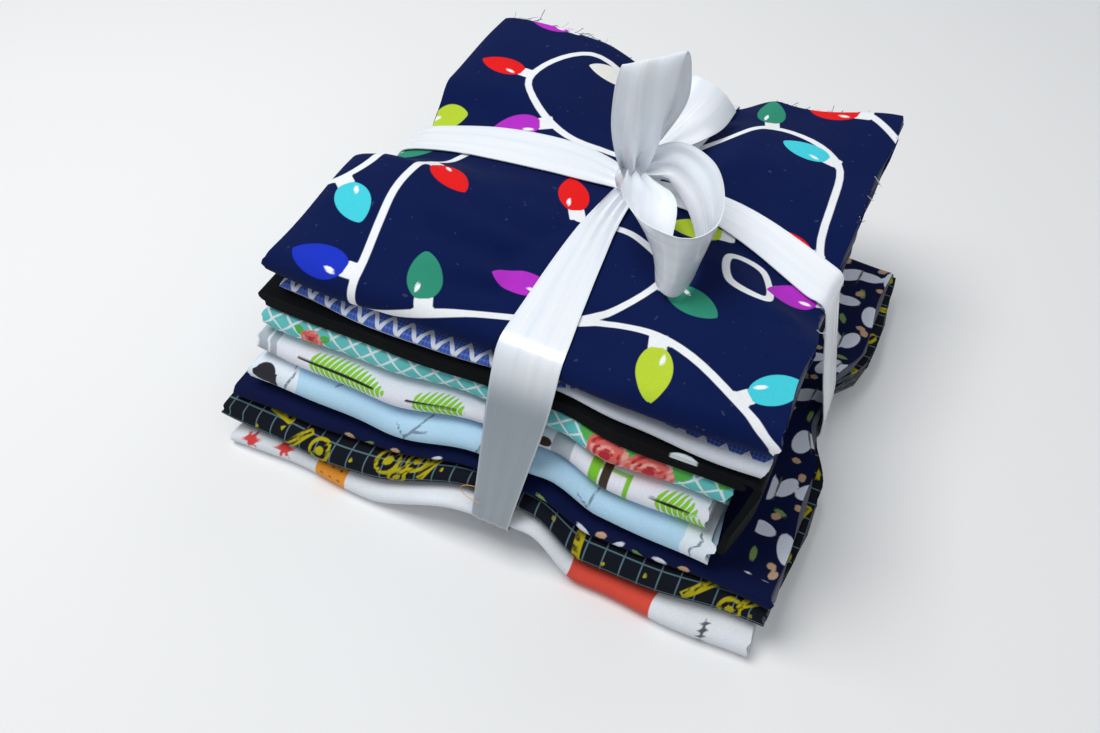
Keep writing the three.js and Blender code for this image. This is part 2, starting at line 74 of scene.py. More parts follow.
# How far the ties draw the top down and lift the underside, at the middle and more at the edges,
# and how far those edges are from the middle
DIP = {"middle": 2, "left": 11, "right": 5, "front": 3, "back": 11}
LIFT = {"middle": 3.2, "ends": 5, "front": 11, "back": 5}
TOP_REACH = 95
TOP_FRONT_REACH = 97
UNDERSIDE_REACH = {"ends": 115, "front": 120, "back": 80}

# Spacing of the mesh
SHOWN_FRONT = 30
SHOWN_FRONT_STEP = 1.5
HIDDEN_STEP = 14
NOSE_STEP = 1.1
TURN_POINTS = 6
ACROSS_STEP = 1.3
END_STEPS = np.array([0, 0.6, 1.5, 3])
END_MARGIN = 4.5
SHARP_ANGLE = 55
UV_SCALE = 0.01

# Stretches at a cloth's edges over which they wave, draw in and part, and how far short of the
# back edge the sheet's own two ends stop
NEAR_FRONT = 40
NEAR_BACK = 25
NEAR_RIGHT = 36
NEAR_LEFT = 20
TIP_RIGHT = 14
ROUNDED_END = 3.6
FIRST_END = 1
LAST_END = 2

# Layer of the black cloth that hangs over the right-hand ends: steps out and down from the
# right edge, where it starts to hang, and the curl of its front corner
HANG = [
    (2.2, -0.3), (3.2, -1.2), (3.9, -2.6), (4.3, -5), (4.5, -8), (4.7, -14), (4.9, -22), (5, -31),
    (5, -39),
]
HANG_OUT = 5
HANG_FROM = 2
HANG_DROP = 3
HANG_FADE = 20
LEVEL_END = 4
TOP_RUN_END = 1.2
CURL_REACH = 16
CURL_IN = 5
CURL_FORWARD = 9
BLACK_STEP = 2.4
BLACK_FLAT_STEP = 4
BLACK_ACROSS_STEP = 1.5
BLACK_LEFT_SLANT = 5
BLACK_LEFT_RUN = 190

# Sizes of the ribbon
RIBBON_THICK = 0.4
RIBBON_GAP = 0.5
KNOT = {"x": 6, "y": 1, "radius_x": 6.8, "radius_y": 6.4, "radius_z": 6}
KNOT_ROWS = 40
KNOT_COLUMNS = 61
KNOT_PRINT = 12

# One row per cloth from the floor up, with the same edges as the solids; plies is the number
# of layers, fine the spacing of the mesh on the face that shows.
CLOTHS = [
    dict(name="bottom_cloth", thick=9.5, left=-113, right=110, front=-125, back=80, turn=4, slant=4,
         plies=6, round=0.6, wave=1.2, fine=10),
    dict(name="grid_cloth", thick=10.5, left=-119, right=114, front=-118, back=82, turn=9, slant=8,
         plies=6, round=0.7, wave=1.6, fine=3),
    dict(name="petal_cloth", thick=7, left=-113, right=111, front=-114, back=76, turn=8, slant=4,
         plies=4, round=0.8, wave=1.0, fine=2),
    dict(name="sky_cloth", thick=13, left=-108, right=87, front=-112, back=80, turn=-3, slant=2,
         plies=6, round=0.75, wave=1.0, fine=10),
    dict(name="fern_cloth", thick=11, left=-106, right=82, front=-106, back=84, turn=-2, slant=2,
         plies=6, round=0.9, wave=0.8, fine=10),
    dict(name="lattice_cloth", thick=12, left=-103, right=85, front=-102, back=80, turn=-2, slant=0,
         plies=6, round=0.6, wave=1.2, fine=10),
    dict(name="black_cloth", thick=8, left=-105, right=89.5, front=-100, back=84, turn=0, slant=0,
         plies=3, round=1, wave=0.6, fine=2.5),
    dict(name="zigzag_cloth", thick=5.5, left=-95, right=93, front=-98, back=90, turn=0, slant=0,
         plies=2, round=0.4, wave=1.0, fine=8),
    dict(name="top_cloth", thick=13.5, left=-96, right=95, front=-97, back=97, turn=1, slant=1,
         splay=4, plies=6, round=0.7, wave=1.4, fine=1.1),
]
NUMBER = {cloth["name"]: k for k, cloth in enumerate(CLOTHS)}

# Soft swellings and hollows of the top: x, y, rise, spread
SWELLINGS = [
    (-72, -48, 9, 28), (58, -58, 3, 30), (-60, 62, 2.5, 30),
    (58, 35, 2, 26), (50, 100, -5, 20), (97, 97, 5, 20),
]

# Creases of the top, from one point to another: x0, y0, x1, y1, depth, width
CREASES = [
    (-12, -57, -74, -66, 2.4, 6), (-12, -72, -50, -84, 1.9, 5), (-8, -40, -50, -44, 1.8, 6),
    (-92, -24, -60, -30, 1.1, 4), (-94, 10, -66, 18, 0.9, 4), (20, -70, 60, -60, 1.3, 6),
    (24, -88, 40, -90, 0.6, 4), (88, -44, 66, -52, 0.8, 4), (90, 8, 66, 14, 0.7, 4),
    (22, 84, 52, 70, 1.4, 6), (-8, 86, -40, 78, 1.2, 6), (16, 40, 44, 30, 1.0, 7),
    (-6, 40, -34, 34, 0.5, 6), (30, -24, 62, -36, 0.5, 6), (-24, -22, -50, -26, 0.6, 5),
]

# Ridge beside a crease: height as a share of the depth, place and reach in crease widths
RIDGE_SHARE = 0.7
RIDGE_PLACE = 1.5
RIDGE_REACH = 5


def ease(t):
    return t * t * (3 - 2 * t)


def ramp(value, start, end):
    """0 before start, 1 after end, smooth between."""
    return ease(np.clip((value - start) / (end - start), 0, 1))


def lerp(a, b, t):
    return a + (b - a) * t


def nearness(distance, reach):
    """1 at an edge, falling to 0 at the reach from it."""
    return np.clip((reach - distance) / reach, 0, 1)


def unit(rows):
    """Directions at length 1."""
    return rows / np.linalg.norm(rows, axis=1, keepdims=True)


def run_length(points):
    """Length along a line of points."""
    return np.concatenate([[0], np.cumsum(np.linalg.norm(np.diff(points, axis=0), axis=1))])


def tie_hold(offset, fade=TIE_FADE):
    """1 under a tie, falling to 0 where the cloth is free of it."""
    return 1 - ease(np.clip((np.abs(offset) - TIE_HALF) / fade, 0, 1))


def length_hold(x):
    """Hold of the tie that runs from front to back, wider on its left."""
    offset = x - LENGTH_TIE_X
    return np.where(offset < 0, tie_hold(offset, TIE_FADE_LEFT), tie_hold(offset))


def cross_tie_y(x):
    """Middle of the tie that runs from side to side, drawn forward at both ends."""
    right = CROSS_TIE_RIGHT * ramp(x, CROSS_TIE_RIGHT_START, CROSS_TIE_END)
    left = CROSS_TIE_LEFT * ramp(-x, CROSS_TIE_LEFT_START, CROSS_TIE_END)
    return CROSS_TIE_Y - right - left


def waves(x, y, seed):
    """Small smooth unevenness, about -1 to 1."""
    a = np.sin(x / 17 + 1.3 * seed + 0.8 * np.sin(y / 31 + seed))
    b = np.sin(y / 13 - 0.7 * seed + 0.9 * np.sin(x / 23 - seed))
    return 0.5 * (a + b)


def top_height(x, y):
    """Height of the top face, drawn down by the ties most at the edges."""
    swell = sum(rise * np.exp(-((x - sx) ** 2 + (y - sy) ** 2) / (2 * spread ** 2))
                for sx, sy, rise, spread in SWELLINGS)
    cross_dip = DIP["middle"] + np.where(x < 0, DIP["left"], DIP["right"]) * (x / TOP_REACH) ** 2
    front_dip = DIP["front"] * (y / TOP_FRONT_REACH) ** 2
    back_dip = DIP["back"] * (y / TOP_REACH) ** 2
    length_dip = DIP["middle"] + np.where(y < 0, front_dip, back_dip)
    cross = tie_hold(y - cross_tie_y(x)) * cross_dip
    return TOP_HEIGHT + swell - np.maximum(cross, length_hold(x) * length_dip)


def bottom_height(x, y):
    """Height of the underside, flat on the floor between the ties."""
    reach = UNDERSIDE_REACH
    cross_lift = LIFT["middle"] + LIFT["ends"] * (x / reach["ends"]) ** 2
    front_lift = LIFT["front"] * (y / reach["front"]) ** 2
    back_lift = LIFT["back"] * (y / reach["back"]) ** 2
    length_lift = LIFT["middle"] + np.where(y < 0, front_lift, back_lift)
    return np.maximum(tie_hold(y - cross_tie_y(x)) * cross_lift, length_hold(x) * length_lift)


def creases(x, y):
    """Soft troughs of the top face, each beside a low ridge."""
    depth = np.zeros_like(x)
    for x0, y0, x1, y1, deep, width in CREASES:
        dx, dy = x1 - x0, y1 - y0
        along = np.clip(((x - x0) * dx + (y - y0) * dy) / (dx ** 2 + dy ** 2), 0, 1)
        side = ((x - x0) * dy - (y - y0) * dx) / math.hypot(dx, dy)
        off = np.hypot(x - lerp(x0, x1, along), y - lerp(y0, y1, along))
        fade = (1 - along) * ramp(along, -0.01, 0.15)
        trough = np.exp(-(off / width) ** 2)
        ridge = RIDGE_SHARE * np.exp(-((side - width * RIDGE_PLACE) / width) ** 2)
        depth += fade * deep * (trough - ridge * (off < width * RIDGE_REACH))
    return depth


def level(x, y, share):
    """Height at a share of the stack, 0 at the floor and 1 at the top."""
    uneven = 0.8 * waves(x, y, 2.0) * share * (1 - 0.4 * share)
    return lerp(bottom_height(x, y), top_height(x, y), share) + uneven


def cloth_faces(number):
    """Lower and upper face of a cloth as functions of x and y."""
    total = sum(c["thick"] for c in CLOTHS)
    below = sum(c["thick"] for c in CLOTHS[:number]) / total
    above = below + CLOTHS[number]["thick"] / total
    is_top = number == len(CLOTHS) - 1
    low_gap = (CLOTH_GAP / 2 if number else 0) + (TOP_GAP if is_top else 0)

    def low(x, y):
        return level(x, y, below) + low_gap

    def high(x, y):
        if is_top:
            return level(x, y, above) - creases(x, y)
        return level(x, y, above) - CLOTH_GAP / 2
    return low, high


def steps_between(start, end, step):
    count = max(2, int(math.ceil(abs(end - start) / step)) + 1)
    return np.linspace(start, end, count)


def turn_points(at, a, b, depth, count):
    """Half turn of a fold from height a to height b, bulging by depth."""
    angle = np.linspace(-math.pi / 2, math.pi / 2, count + 1)[1:-1]
    return np.stack([at + depth * np.cos(angle), (a + b) / 2 + (b - a) / 2 * np.sin(angle)], 1)


def ply_order(count):
    """Plies in the order in which one sheet runs through them, folded inwards."""
    order, low, high, upper = [0], 1, count - 1, True
    while low <= high:
        for _ in range(2):
            if low <= high:
                order.append(high if upper else low)
                high, low = (high - 1, low) if upper else (high, low + 1)
        upper = not upper
    return order


def folded_line(cloth):
    """Middle line of a cloth folded at the front: depth, height and ply of each point."""
    count, thick = cloth["plies"], cloth["thick"]
    half = LAYER_FILL / count * thick / 2
    pitch = (thick - 2 * half) / (count - 1)
    heights = [half + k * pitch for k in range(count)]
    outer = FOLD_DEPTH_SHARE * (heights[-1] - heights[0])
    front_at = cloth["front"] + outer + half
    back_at = cloth["back"] - pitch / 2 - half
    order = ply_order(count)
    rows = []
    for k, ply in enumerate(order):
        forward = k % 2 == 0
        ends = (back_at, front_at) if forward else (front_at, back_at)
        if k == 0:
            ends = (cloth["back"] - FIRST_END, front_at)
        if k == len(order) - 1:
            ends = (ends[0], cloth["back"] - LAST_END)
        shows = ply == count - 1
        if shows:
            near_step = min(cloth["fine"], SHOWN_FRONT_STEP)
            near = steps_between(front_at, front_at + SHOWN_FRONT, near_step)
            far = steps_between(front_at + SHOWN_FRONT, back_at, cloth["fine"])
            run = np.concatenate([near[:-1], far])
        else:
            run = steps_between(*ends, HIDDEN_STEP)
        rows += [(u, heights[ply], ply) for u in run]
        if k + 1 < len(order):
            after = order[k + 1]
            rise = abs(heights[after] - heights[ply])
            depth = FOLD_DEPTH_SHARE * rise if forward else pitch / 2
            points = TURN_POINTS
            if k == 0:
                points = max(points, int(math.pi * rise / 2 / NOSE_STEP))
            turn = turn_points(front_at if forward else back_at, heights[ply], heights[after],
                               -depth if forward else depth, points)
            for m, (u, w) in enumerate(turn):
                rows.append((u, w, lerp(ply, after, (m + 1) / points)))
    return np.array(rows), half


def two_sides(line, half):
    """Points on both sides of a middle line, half a thickness away."""
    along = unit(np.gradient(line, axis=0))
    out = np.stack([-along[:, 1], along[:, 0]], 1)
    return line + half * out, line - half * out


def print_length(line, zero):
    """Length along the line, zero at the given point."""
    run = run_length(line)
    return run - run[zero]


def to_frame(points):
    """Stack millimetres to metres in the shared frame."""
    return (points + STACK_ORIGIN) * MM


def front_folded_cloth(number):
    """Points of both sides, and the print's two directions, of a cloth folded at the front."""
    cloth = CLOTHS[number]
    rows, half = folded_line(cloth)
    line, ply = rows[:, :2], rows[:, 2]
    low, high = cloth_faces(number)
    left, right, front, back = (cloth[k] for k in ("left", "right", "front", "back"))
    inner = steps_between(left + END_MARGIN, right - END_MARGIN, ACROSS_STEP)
    x0 = np.concatenate([left + END_STEPS, inner, right - END_STEPS[::-1]])
    at_right = nearness(right - x0, NEAR_RIGHT)[:, None]
    at_left = nearness(x0 - left, NEAR_LEFT)[:, None]
    tip_right = nearness(right - x0, TIP_RIGHT)[:, None]
    uneven = RANDOM.uniform(-1, 1, (3, cloth["plies"] + 1))
    pick = np.round(ply).astype(int)
    flat = 0 if number == 0 else 0.5
    sides = []
    for side in two_sides(line, half):
        u = side[None, :, 0] + np.zeros((len(x0), 1))
        w = side[None, :, 1] + np.zeros((len(x0), 1))
        x = x0[:, None] + np.zeros_like(u)
        share = (x - left) / (right - left)
        near = nearness(u - front, NEAR_FRONT)
        far = nearness(back - u, NEAR_BACK)
        ripple = cloth["wave"] * np.sin(x / 19 + number * 1.9) + 0.4 * np.sin(x / 7.3 + number)
        y = u + near * (FRONT_DRAWN * length_hold(x) + ripple - cloth["slant"] * (1 - share))
        y += far * (1.2 * uneven[0][pick] + 0.7 * np.sin(x / 9 + 2 * ply))
        depth = (y - front) / (back - front)
        hold_y = tie_hold(y - cross_tie_y(x))
        bend = cloth["wave"] * np.sin(y / 17 + number * 2.3)
        pull = LOW_END_DRAWN if number < LOW_CLOTHS else END_DRAWN
        x = x - at_right * (pull * hold_y + bend - cloth["turn"] * depth)
        x = x + at_left * (END_DRAWN * hold_y + bend - cloth.get("splay", 0) * (1 - depth))
        x = x + tip_right * (1.1 * uneven[1][pick] - 0.6 + 0.5 * np.sin(y / 6.5 + 3 * ply))
        x = x + at_left * 0.8 * uneven[2][pick]
        hold = 1 - (1 - cloth["round"]) * np.exp(-(x0 - left) / ROUNDED_END)[:, None]
        up = flat + (w / cloth["thick"] - flat) * hold
        z = lerp(low(x, y), high(x, y), up)
        sides.append(to_frame(np.stack([x, y, z], 2)))
    shape = sides[0].shape[:2]
    v = print_length(line, int(np.argmin(line[:, 0])))
    return sides, np.broadcast_to(x0[:, None], shape), np.broadcast_to(v, shape)


def side_folded_cloth(number):
    """The black cloth, folded from side to side; its last layer hangs over the right-hand ends."""
    cloth = CLOTHS[number]
    half = BLACK_FILL / cloth["plies"] * cloth["thick"] / 2
    low_w, high_w = half, cloth["thick"] - half
    middle, turn = cloth["thick"] / 2, (high_w - low_w) / 4
    left, right, front, back = (cloth[k] for k in ("left", "right", "front", "back"))
    left_at, right_at = left + turn + half, right - turn - half
    flat_run = steps_between(left_at, right_at, BLACK_FLAT_STEP)

    def run(values, w):
        return [(u, w) for u in values]

    def turn_rows(at, a, b, depth):
        return [tuple(p) for p in turn_points(at, a, b, depth, TURN_POINTS)]
    rows = run(flat_run, low_w) + turn_rows(right_at, low_w, middle, turn)
    rows += run(flat_run[::-1], middle) + turn_rows(left_at, middle, high_w, -turn)
    top_start = len(rows)
    rows += run(steps_between(left_at, right + TOP_RUN_END, BLACK_STEP), high_w)
    rows += [(right + dx, high_w + dz) for dx, dz in HANG]
    line = np.array(rows)
    low, high = cloth_faces(number)
    y0 = steps_between(front, back, BLACK_ACROSS_STEP)
    sides = []
    for side in two_sides(line, half):
        u = side[None, :, 0] + np.zeros((len(y0), 1))
        w = side[None, :, 1]
        y = y0[:, None] + np.zeros_like(u)
        hanging = np.clip((high_w - HANG_DROP - w) / HANG_FADE, 0, 1) * (u > right + HANG_FROM)
        at_front = nearness(y - front, CURL_REACH)
        curl = hanging * at_front ** 2
        slant = BLACK_LEFT_SLANT * ease(np.clip((y - front) / BLACK_LEFT_RUN, 0, 1))
        x = u + (u < left + NEAR_LEFT) * slant
        x = x + hanging * (0.7 * np.sin(y / 15) - 0.4) - CURL_IN * curl
        drawn = FRONT_DRAWN * length_hold(x) + 0.5 * np.sin(x / 11)
        y = y + at_front * drawn + hanging * 0.8 * np.sin(w / 9) - CURL_FORWARD * curl
        at = np.minimum(x, right + LEVEL_END)
        z = lerp(low(at, y), high(at, y), w / cloth["thick"])
        sides.append(to_frame(np.stack([x, y, z], 2)))
    shape = sides[0].shape[:2]
    u = print_length(line, top_start) + left_at
    return sides, np.broadcast_to(u, shape), np.broadcast_to(y0[:, None], shape)


def quads(*corners):
    """Rows of four point numbers, one row for each quad."""
    shape = np.broadcast(*corners).shape
    return np.stack([np.broadcast_to(c, shape).ravel() for c in corners], 1)


def grid_faces(rows, columns, ring):
    """Quads of a thin closed sheet: two sides of rows by columns points, rims and ends."""
    under = rows * columns
    end = columns - 1
    i = np.arange(rows if ring else rows - 1)[:, None]
    here, after = i * columns, (i + 1) % rows * columns
    j = np.arange(end)[None, :]
    faces = [
        quads(here + j, after + j, after + j + 1, here + j + 1),
        quads(under + here + j, under + here + j + 1, under + after + j + 1, under + after + j),
        quads(after, here, under + here, under + after),
        quads(here + end, after + end, under + after + end, under + here + end),
    ]
    if not ring:
        j = np.arange(end)
        last = (rows - 1) * columns
        faces.append(quads(j, j + 1, under + j + 1, under + j))
        faces.append(quads(last + j + 1, last + j, under + last + j, under + last + j + 1))
    return np.concatenate(faces)


def add_object(name, data):
    made = bpy.data.objects.new(name, data)
    bpy.context.scene.collection.objects.link(made)
    return made


def mesh_object(name, points, faces, uv, fields, material):
    """Mesh from arrays, its faces turned outward, with print coordinates and point fields."""
    a, b, c = points[faces[:, 0]], points[faces[:, 1]], points[faces[:, 2]]
    d = points[faces[:, 3]]
    volume = np.einsum("ij,ij->", a, np.cross(b, c)) + np.einsum("ij,ij->", a, np.cross(c, d))
    if volume < 0:
        faces = faces[:, ::-1]
    mesh = bpy.data.meshes.new(name)
    mesh.vertices.add(len(points))
    mesh.vertices.foreach_set("co", points.astype(np.float32).ravel())
    mesh.loops.add(faces.size)
    mesh.loops.foreach_set("vertex_index", faces.astype(np.int32).ravel())
    mesh.polygons.add(len(faces))
    mesh.polygons.foreach_set("loop_start", np.arange(0, faces.size, 4, dtype=np.int32))
    mesh.update(calc_edges=True)
    mesh.validate()
    layer = mesh.uv_layers.new(name="print")
    layer.data.foreach_set("uv", (uv[faces.ravel()] * UV_SCALE).astype(np.float32).ravel())
    for field, values in fields.items():
        kind, socket = ("FLOAT", "value") if values.ndim == 1 else ("FLOAT_COLOR", "color")
        if values.ndim > 1:
            values = np.concatenate([values, np.ones((len(values), 1))], 1)
        data = mesh.attributes.new(field, kind, "POINT").data
        data.foreach_set(socket, values.astype(np.float32).ravel())
    mesh.polygons.foreach_set("use_smooth", np.ones(len(faces), bool))
    mesh.set_sharp_from_angle(angle=math.radians(SHARP_ANGLE))
    mesh.materials.append(material)
    return add_object(name, mesh)


# The stack's own origin in the shared frame, found from the black cloth's front and right edges
black = CLOTHS[NUMBER["black_cloth"]]
black_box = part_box("black_cloth")
black_reach = black["right"] + HANG_OUT + LAYER_FILL / black["plies"] * black["thick"] / 2
STACK_ORIGIN = np.array([black_box[1].x / MM - black_reach, black_box[0].y / MM - black["front"], 0.0])


def path_points(points, count=12, closed=False):
    """Smooth curve through points."""
    p = np.array(points, float)
    before = np.roll(p, 1, 0) if closed else np.vstack([2 * p[0] - p[1], p[:-1]])
    after = np.roll(p, -1, 0) if closed else np.vstack([p[1:], 2 * p[-1] - p[-2]])
    slope = (after - before) / 2
    out = []
    for k in range(len(p) if closed else len(p) - 1):
        n = (k + 1) % len(p)
        t = np.linspace(0, 1, count, endpoint=False)[:, None]
        h = (2 * t ** 3 - 3 * t ** 2 + 1, t ** 3 - 2 * t ** 2 + t, 3 * t ** 2 - 2 * t ** 3, t ** 3 - t ** 2)
        out.append(h[0] * p[k] + h[1] * slope[k] + h[2] * p[n] + h[3] * slope[n])
    out.append(p[:1] if closed else p[-1:])
    return np.vstack(out)


# Shapes of the prints: each gives about the distance to the shape's edge, less than 0 inside
def stroke(u, v, points, half):
    """A line of even width through straight stretches."""
    best = np.full(u.shape, 1e3)
    for (x0, y0), (x1, y1) in zip(points[:-1], points[1:]):
        size = (x1 - x0) ** 2 + (y1 - y0) ** 2 + 1e-9
        t = np.clip(((u - x0) * (x1 - x0) + (v - y0) * (y1 - y0)) / size, 0, 1)
        best = np.minimum(best, np.hypot(u - lerp(x0, x1, t), v - lerp(y0, y1, t)))
    return best - half


def local(u, v, x, y, degrees):
    """Coordinates along and across a direction."""
    a = math.radians(degrees)
    return ((u - x) * math.cos(a) + (v - y) * math.sin(a), -(u - x) * math.sin(a) + (v - y) * math.cos(a))


def oval(u, v, x, y, long, wide, degrees=0):
    a, b = local(u, v, x, y, degrees)
    return (np.hypot(a / long, b / wide) - 1) * min(long, wide)


def bar(u, v, x, y, long, wide, degrees=0):
    a, b = local(u, v, x, y, degrees)
    return np.maximum(np.abs(a) - long, np.abs(b) - wide)


def drop(u, v, x, y, degrees, length, wide):
    """Teardrop from a round end at x, y to a point."""
    a, b = local(u, v, x, y, degrees)
    t = np.clip(a / length, 0, 1)
    half = wide * 1.9 * np.sqrt(t + 0.03) * (1 - t) ** 0.75 * (1 + 0.25 * t)
    return np.maximum(np.abs(b) - half, np.maximum(-a, a - length))


def union(*fields):
    return np.minimum.reduce(fields)


def ovals(u, v, rows):
    return union(*[oval(u, v, *row) for row in rows])


def bars(u, v, rows):
    return union(*[bar(u, v, *row) for row in rows])


def blank(u, *names):
    """Named fields with no shape in them yet."""
    return {name: np.full(u.shape, 50.0) for name in names}


def join(fields, marks):
    """Adds shapes to the named fields."""
    for name, mark in marks.items():
        fields[name] = np.minimum(fields[name], mark)


# Colours of the prints, linear
INK = {
    "red": (0.80, 0.012, 0.012), "cyan": (0.06, 0.62, 0.72), "green": (0.03, 0.27, 0.17),
    "magenta": (0.46, 0.03, 0.55), "lime": (0.50, 0.66, 0.04), "blue": (0.012, 0.035, 0.52),
    "cream": (0.85, 0.84, 0.78), "white": (0.86, 0.88, 0.90),
}

# Cords of the top print as curves through x, y
LIGHT_CORDS = [
    [(-112, -60), (-92, -55), (-88, -32), (-106, -15)],
    [(-56, 14), (-68, -16), (-71, -50), (-63, -92), (-60, -122)],
    [(-60, -108), (-20, -92), (16, -75), (36, -45), (18, -26), (-6, -27)],
    [(14, -78), (30, -72), (62, -79), (104, -108)],
    [(12, 30), (46, 68), (78, 52), (84, 8), (100, -32)],
    [(8, 19), (-32, 21), (-62, 46), (-46, 80), (2, 70)],
    [(64, 104), (82, 90), (100, 72)],
]
LIGHT_RING = [(54, -20), (68, -21), (73, -38), (58, -36)]
CORD_STEPS = 8

# Bulbs of the top print: number of the cord, share of the way along it, direction and colour
CORD_BULBS = [
    (0, 0.33, -45, "cyan"), (0, 1.0, 15, "green"), (1, 0.35, -30, "red"), (1, 0.75, 180, "blue"),
    (2, 0.12, 115, "green"), (2, 0.58, -20, "green"), (2, 1.0, 120, "red"), (3, 0.48, -75, "lime"),
    (3, 0.8, 40, "cyan"), (4, 0.26, 105, "green"), (4, 0.51, 165, "cyan"), (4, 0.8, 170, "red"),
    (4, 0.95, 200, "magenta"), (5, 0.3, 205, "magenta"), (5, 0.53, 175, "red"), (5, 0.9, 190, "cream"),
    (6, 0.5, 170, "red"),
]

# Bulbs whose cord is hidden: socket x, y, direction and colour
LONE_BULBS = [
    (4, -66, 190, "magenta"), (52, -8, 190, "lime"), (-104, 11, 20, "lime"), (-58, 95, 180, "magenta"),
]
CORD_HALF = 1.5
TOP_PRINT_START = 5

# Sizes of a bulb, its socket and its highlight, and where each lies along the bulb's direction
BULB = {"out": 5, "length": 21, "half": 6.6}
SOCKET = {"out": 2.8, "half_long": 3.3, "half_wide": 3.2}
GLINT = {"out": 10, "aside": 2.4, "half_long": 2.6, "half_wide": 0.9, "tilt": -12}

# Pale line along the back edge, from the left to here
SELVAGE_END = -6
SELVAGE_HALF = 0.7


def top_print(u, v):
    """Looping string of bulbs, laid out in the plan of the top face."""
    y = v + CLOTHS[-1]["front"] - TOP_PRINT_START
    cords = [path_points(points, CORD_STEPS) for points in LIGHT_CORDS]
    bulbs = [(*cords[k][round(share * (len(cords[k]) - 1))], degrees, name)
             for k, share, degrees, name in CORD_BULBS] + LONE_BULBS
    cords.append(path_points(LIGHT_RING, CORD_STEPS, True))
    fields = blank(u, "cord", "bulb", "glint")
    colour = np.zeros((*u.shape, 3))
    for points in cords:
        join(fields, {"cord": stroke(u, y, points, CORD_HALF)})
    for x, at, degrees, name in bulbs:
        a = math.radians(degrees)
        along, aside = np.array([math.cos(a), math.sin(a)]), np.array([-math.sin(a), math.cos(a)])
        bulb, socket, glint = ((x, at) + part["out"] * along for part in (BULB, SOCKET, GLINT))
        glint = glint + GLINT["aside"] * aside
        body = drop(u, y, *bulb, degrees, BULB["length"], BULB["half"])
        colour[body < fields["bulb"]] = INK[name]
        join(fields, {
            "bulb": body,
            "cord": bar(u, y, *socket, SOCKET["half_long"], SOCKET["half_wide"], degrees),
            "glint": oval(u, y, *glint, GLINT["half_long"], GLINT["half_wide"], degrees + GLINT["tilt"]),
        })
    edge = np.abs(y - CLOTHS[-1]["back"] + 1) - SELVAGE_HALF
    join(fields, {"cord": np.maximum(edge, u - SELVAGE_END)})
    return {**fields, "bulb_colour": colour}


# Pale border of the zigzag print: its edge at the left, its rise and where along x it rises
BORDER_LOW = 0.4
BORDER_RISE = 4.6
BORDER_RUN = (8, 34)

# Pale spot of the black cloth: x, distance forward of the edge, half length, half width
SPOT = {"x": 67, "forward": 1.5, "half_long": 5.5, "half_wide": 3}


def zigzag_print(u, v):
    """The pale border under the zigzags widens to a band on the right."""
    return {"border": v + BORDER_LOW - BORDER_RISE * ramp(u, *BORDER_RUN)}


def black_print(u, v):
    """A pale spot that shows as a crescent at the front edge."""
    front = CLOTHS[NUMBER["black_cloth"]]["front"]
    return {"moon": oval(u, v, SPOT["x"], front - SPOT["forward"], SPOT["half_long"], SPOT["half_wide"])}


# A rose in shares of its size: radius and starting angle of the arcs between its petals
DARK_ARCS = [(0.30, 0.3), (0.52, 2.4), (0.56, 5.0), (0.78, 1.0)]
PALE_ARCS = [(0.42, 0.9), (0.46, 3.6), (0.70, 2.6), (0.72, 4.9), (0.88, 0.2)]
DARK_HALF = 0.06
PALE_HALF = 0.07
PETAL_ANGLES = np.arange(0, 6.2, 1.256)
LEAF_ANGLES = (0.35, 2.6, 4.1)

# Roses of the lattice print: x, v, size
ROSES = [(-81, 0, 5), (41, 1, 9), (57, 0, 9), (-20, 18, 8), (10, 24, 9), (88, 14, 8)]


def arcs(u, v, x, y, size, rows, half):
    """Short arcs about a rose's middle."""
    lines = []
    for share, start in rows:
        r = share * size
        angles = np.arange(start, start + 1.9, 0.3)
        lines.append([(x + r * math.cos(a), y + 0.85 * r * math.sin(a)) for a in angles])
    return union(*[stroke(u, v, line, half * size) for line in lines])


def rose(u, v, x, y, size):
    """Petals, dark lines between them, pale petal edges, a dark heart and three leaves."""
    petals = [(x + 0.42 * size * math.cos(a), y + 0.36 * size * math.sin(a), 0.55 * size, 0.48 * size)
              for a in PETAL_ANGLES]
    leaves = [drop(u, v, x + size * 0.7 * math.cos(a), y + size * 0.6 * math.sin(a), math.degrees(a),
                   size, size * 0.33) for a in LEAF_ANGLES]
    return {
        "rose": ovals(u, v, petals),
        "line": arcs(u, v, x, y, size, DARK_ARCS, DARK_HALF),
        "edge": arcs(u, v, x, y, size, PALE_ARCS, PALE_HALF),
        "core": oval(u, v, x - 0.06 * size, y, 0.26 * size, 0.22 * size, 20),
        "leaf": union(*leaves),
    }


def lattice_print(u, v):
    """Coral roses with leaves."""
    fields = blank(u, "rose", "line", "edge", "core", "leaf")
    for x, y, size in ROSES:
        join(fields, rose(u, v, x, y, size))
    return fields


# Fronds of the fern print: base x, v, direction, length
FRONDS = [
    (-85, 3.8, -1, 38), (-38, 3.2, -1, 23), (60, 4, -4, 18), (84, -2, 178, 15), (-60, 26, 20, 40),
    (0, 26, 8, 40),
]
FROND_HALF = 5.8
FROND_START = 0.12
LEAFLET_PITCH = 2.3
LEAFLET_SLOPE = 0.55
STEM_HALF = 0.6
STEM_MIDDLE = 0.42
STEM_REACH = 0.45

# Upright bars beside the fronds: x, v, half length along x, half height
GREY_BARS = [(-103, 0, 2.2, 20), (-98, 0, 1.6, 20), (24, 2, 4, 7)]
GREEN_BARS = [(38, 0, 2.0, 12), (51, 0, 0.9, 9), (46, 7.5, 5.5, 0.7), (46, -5, 5.5, 0.7)]
BROWN_BAR = (42.5, 0, 1.7, 12)
BROWN_SPOT = (17, 3, 3, 2.2)


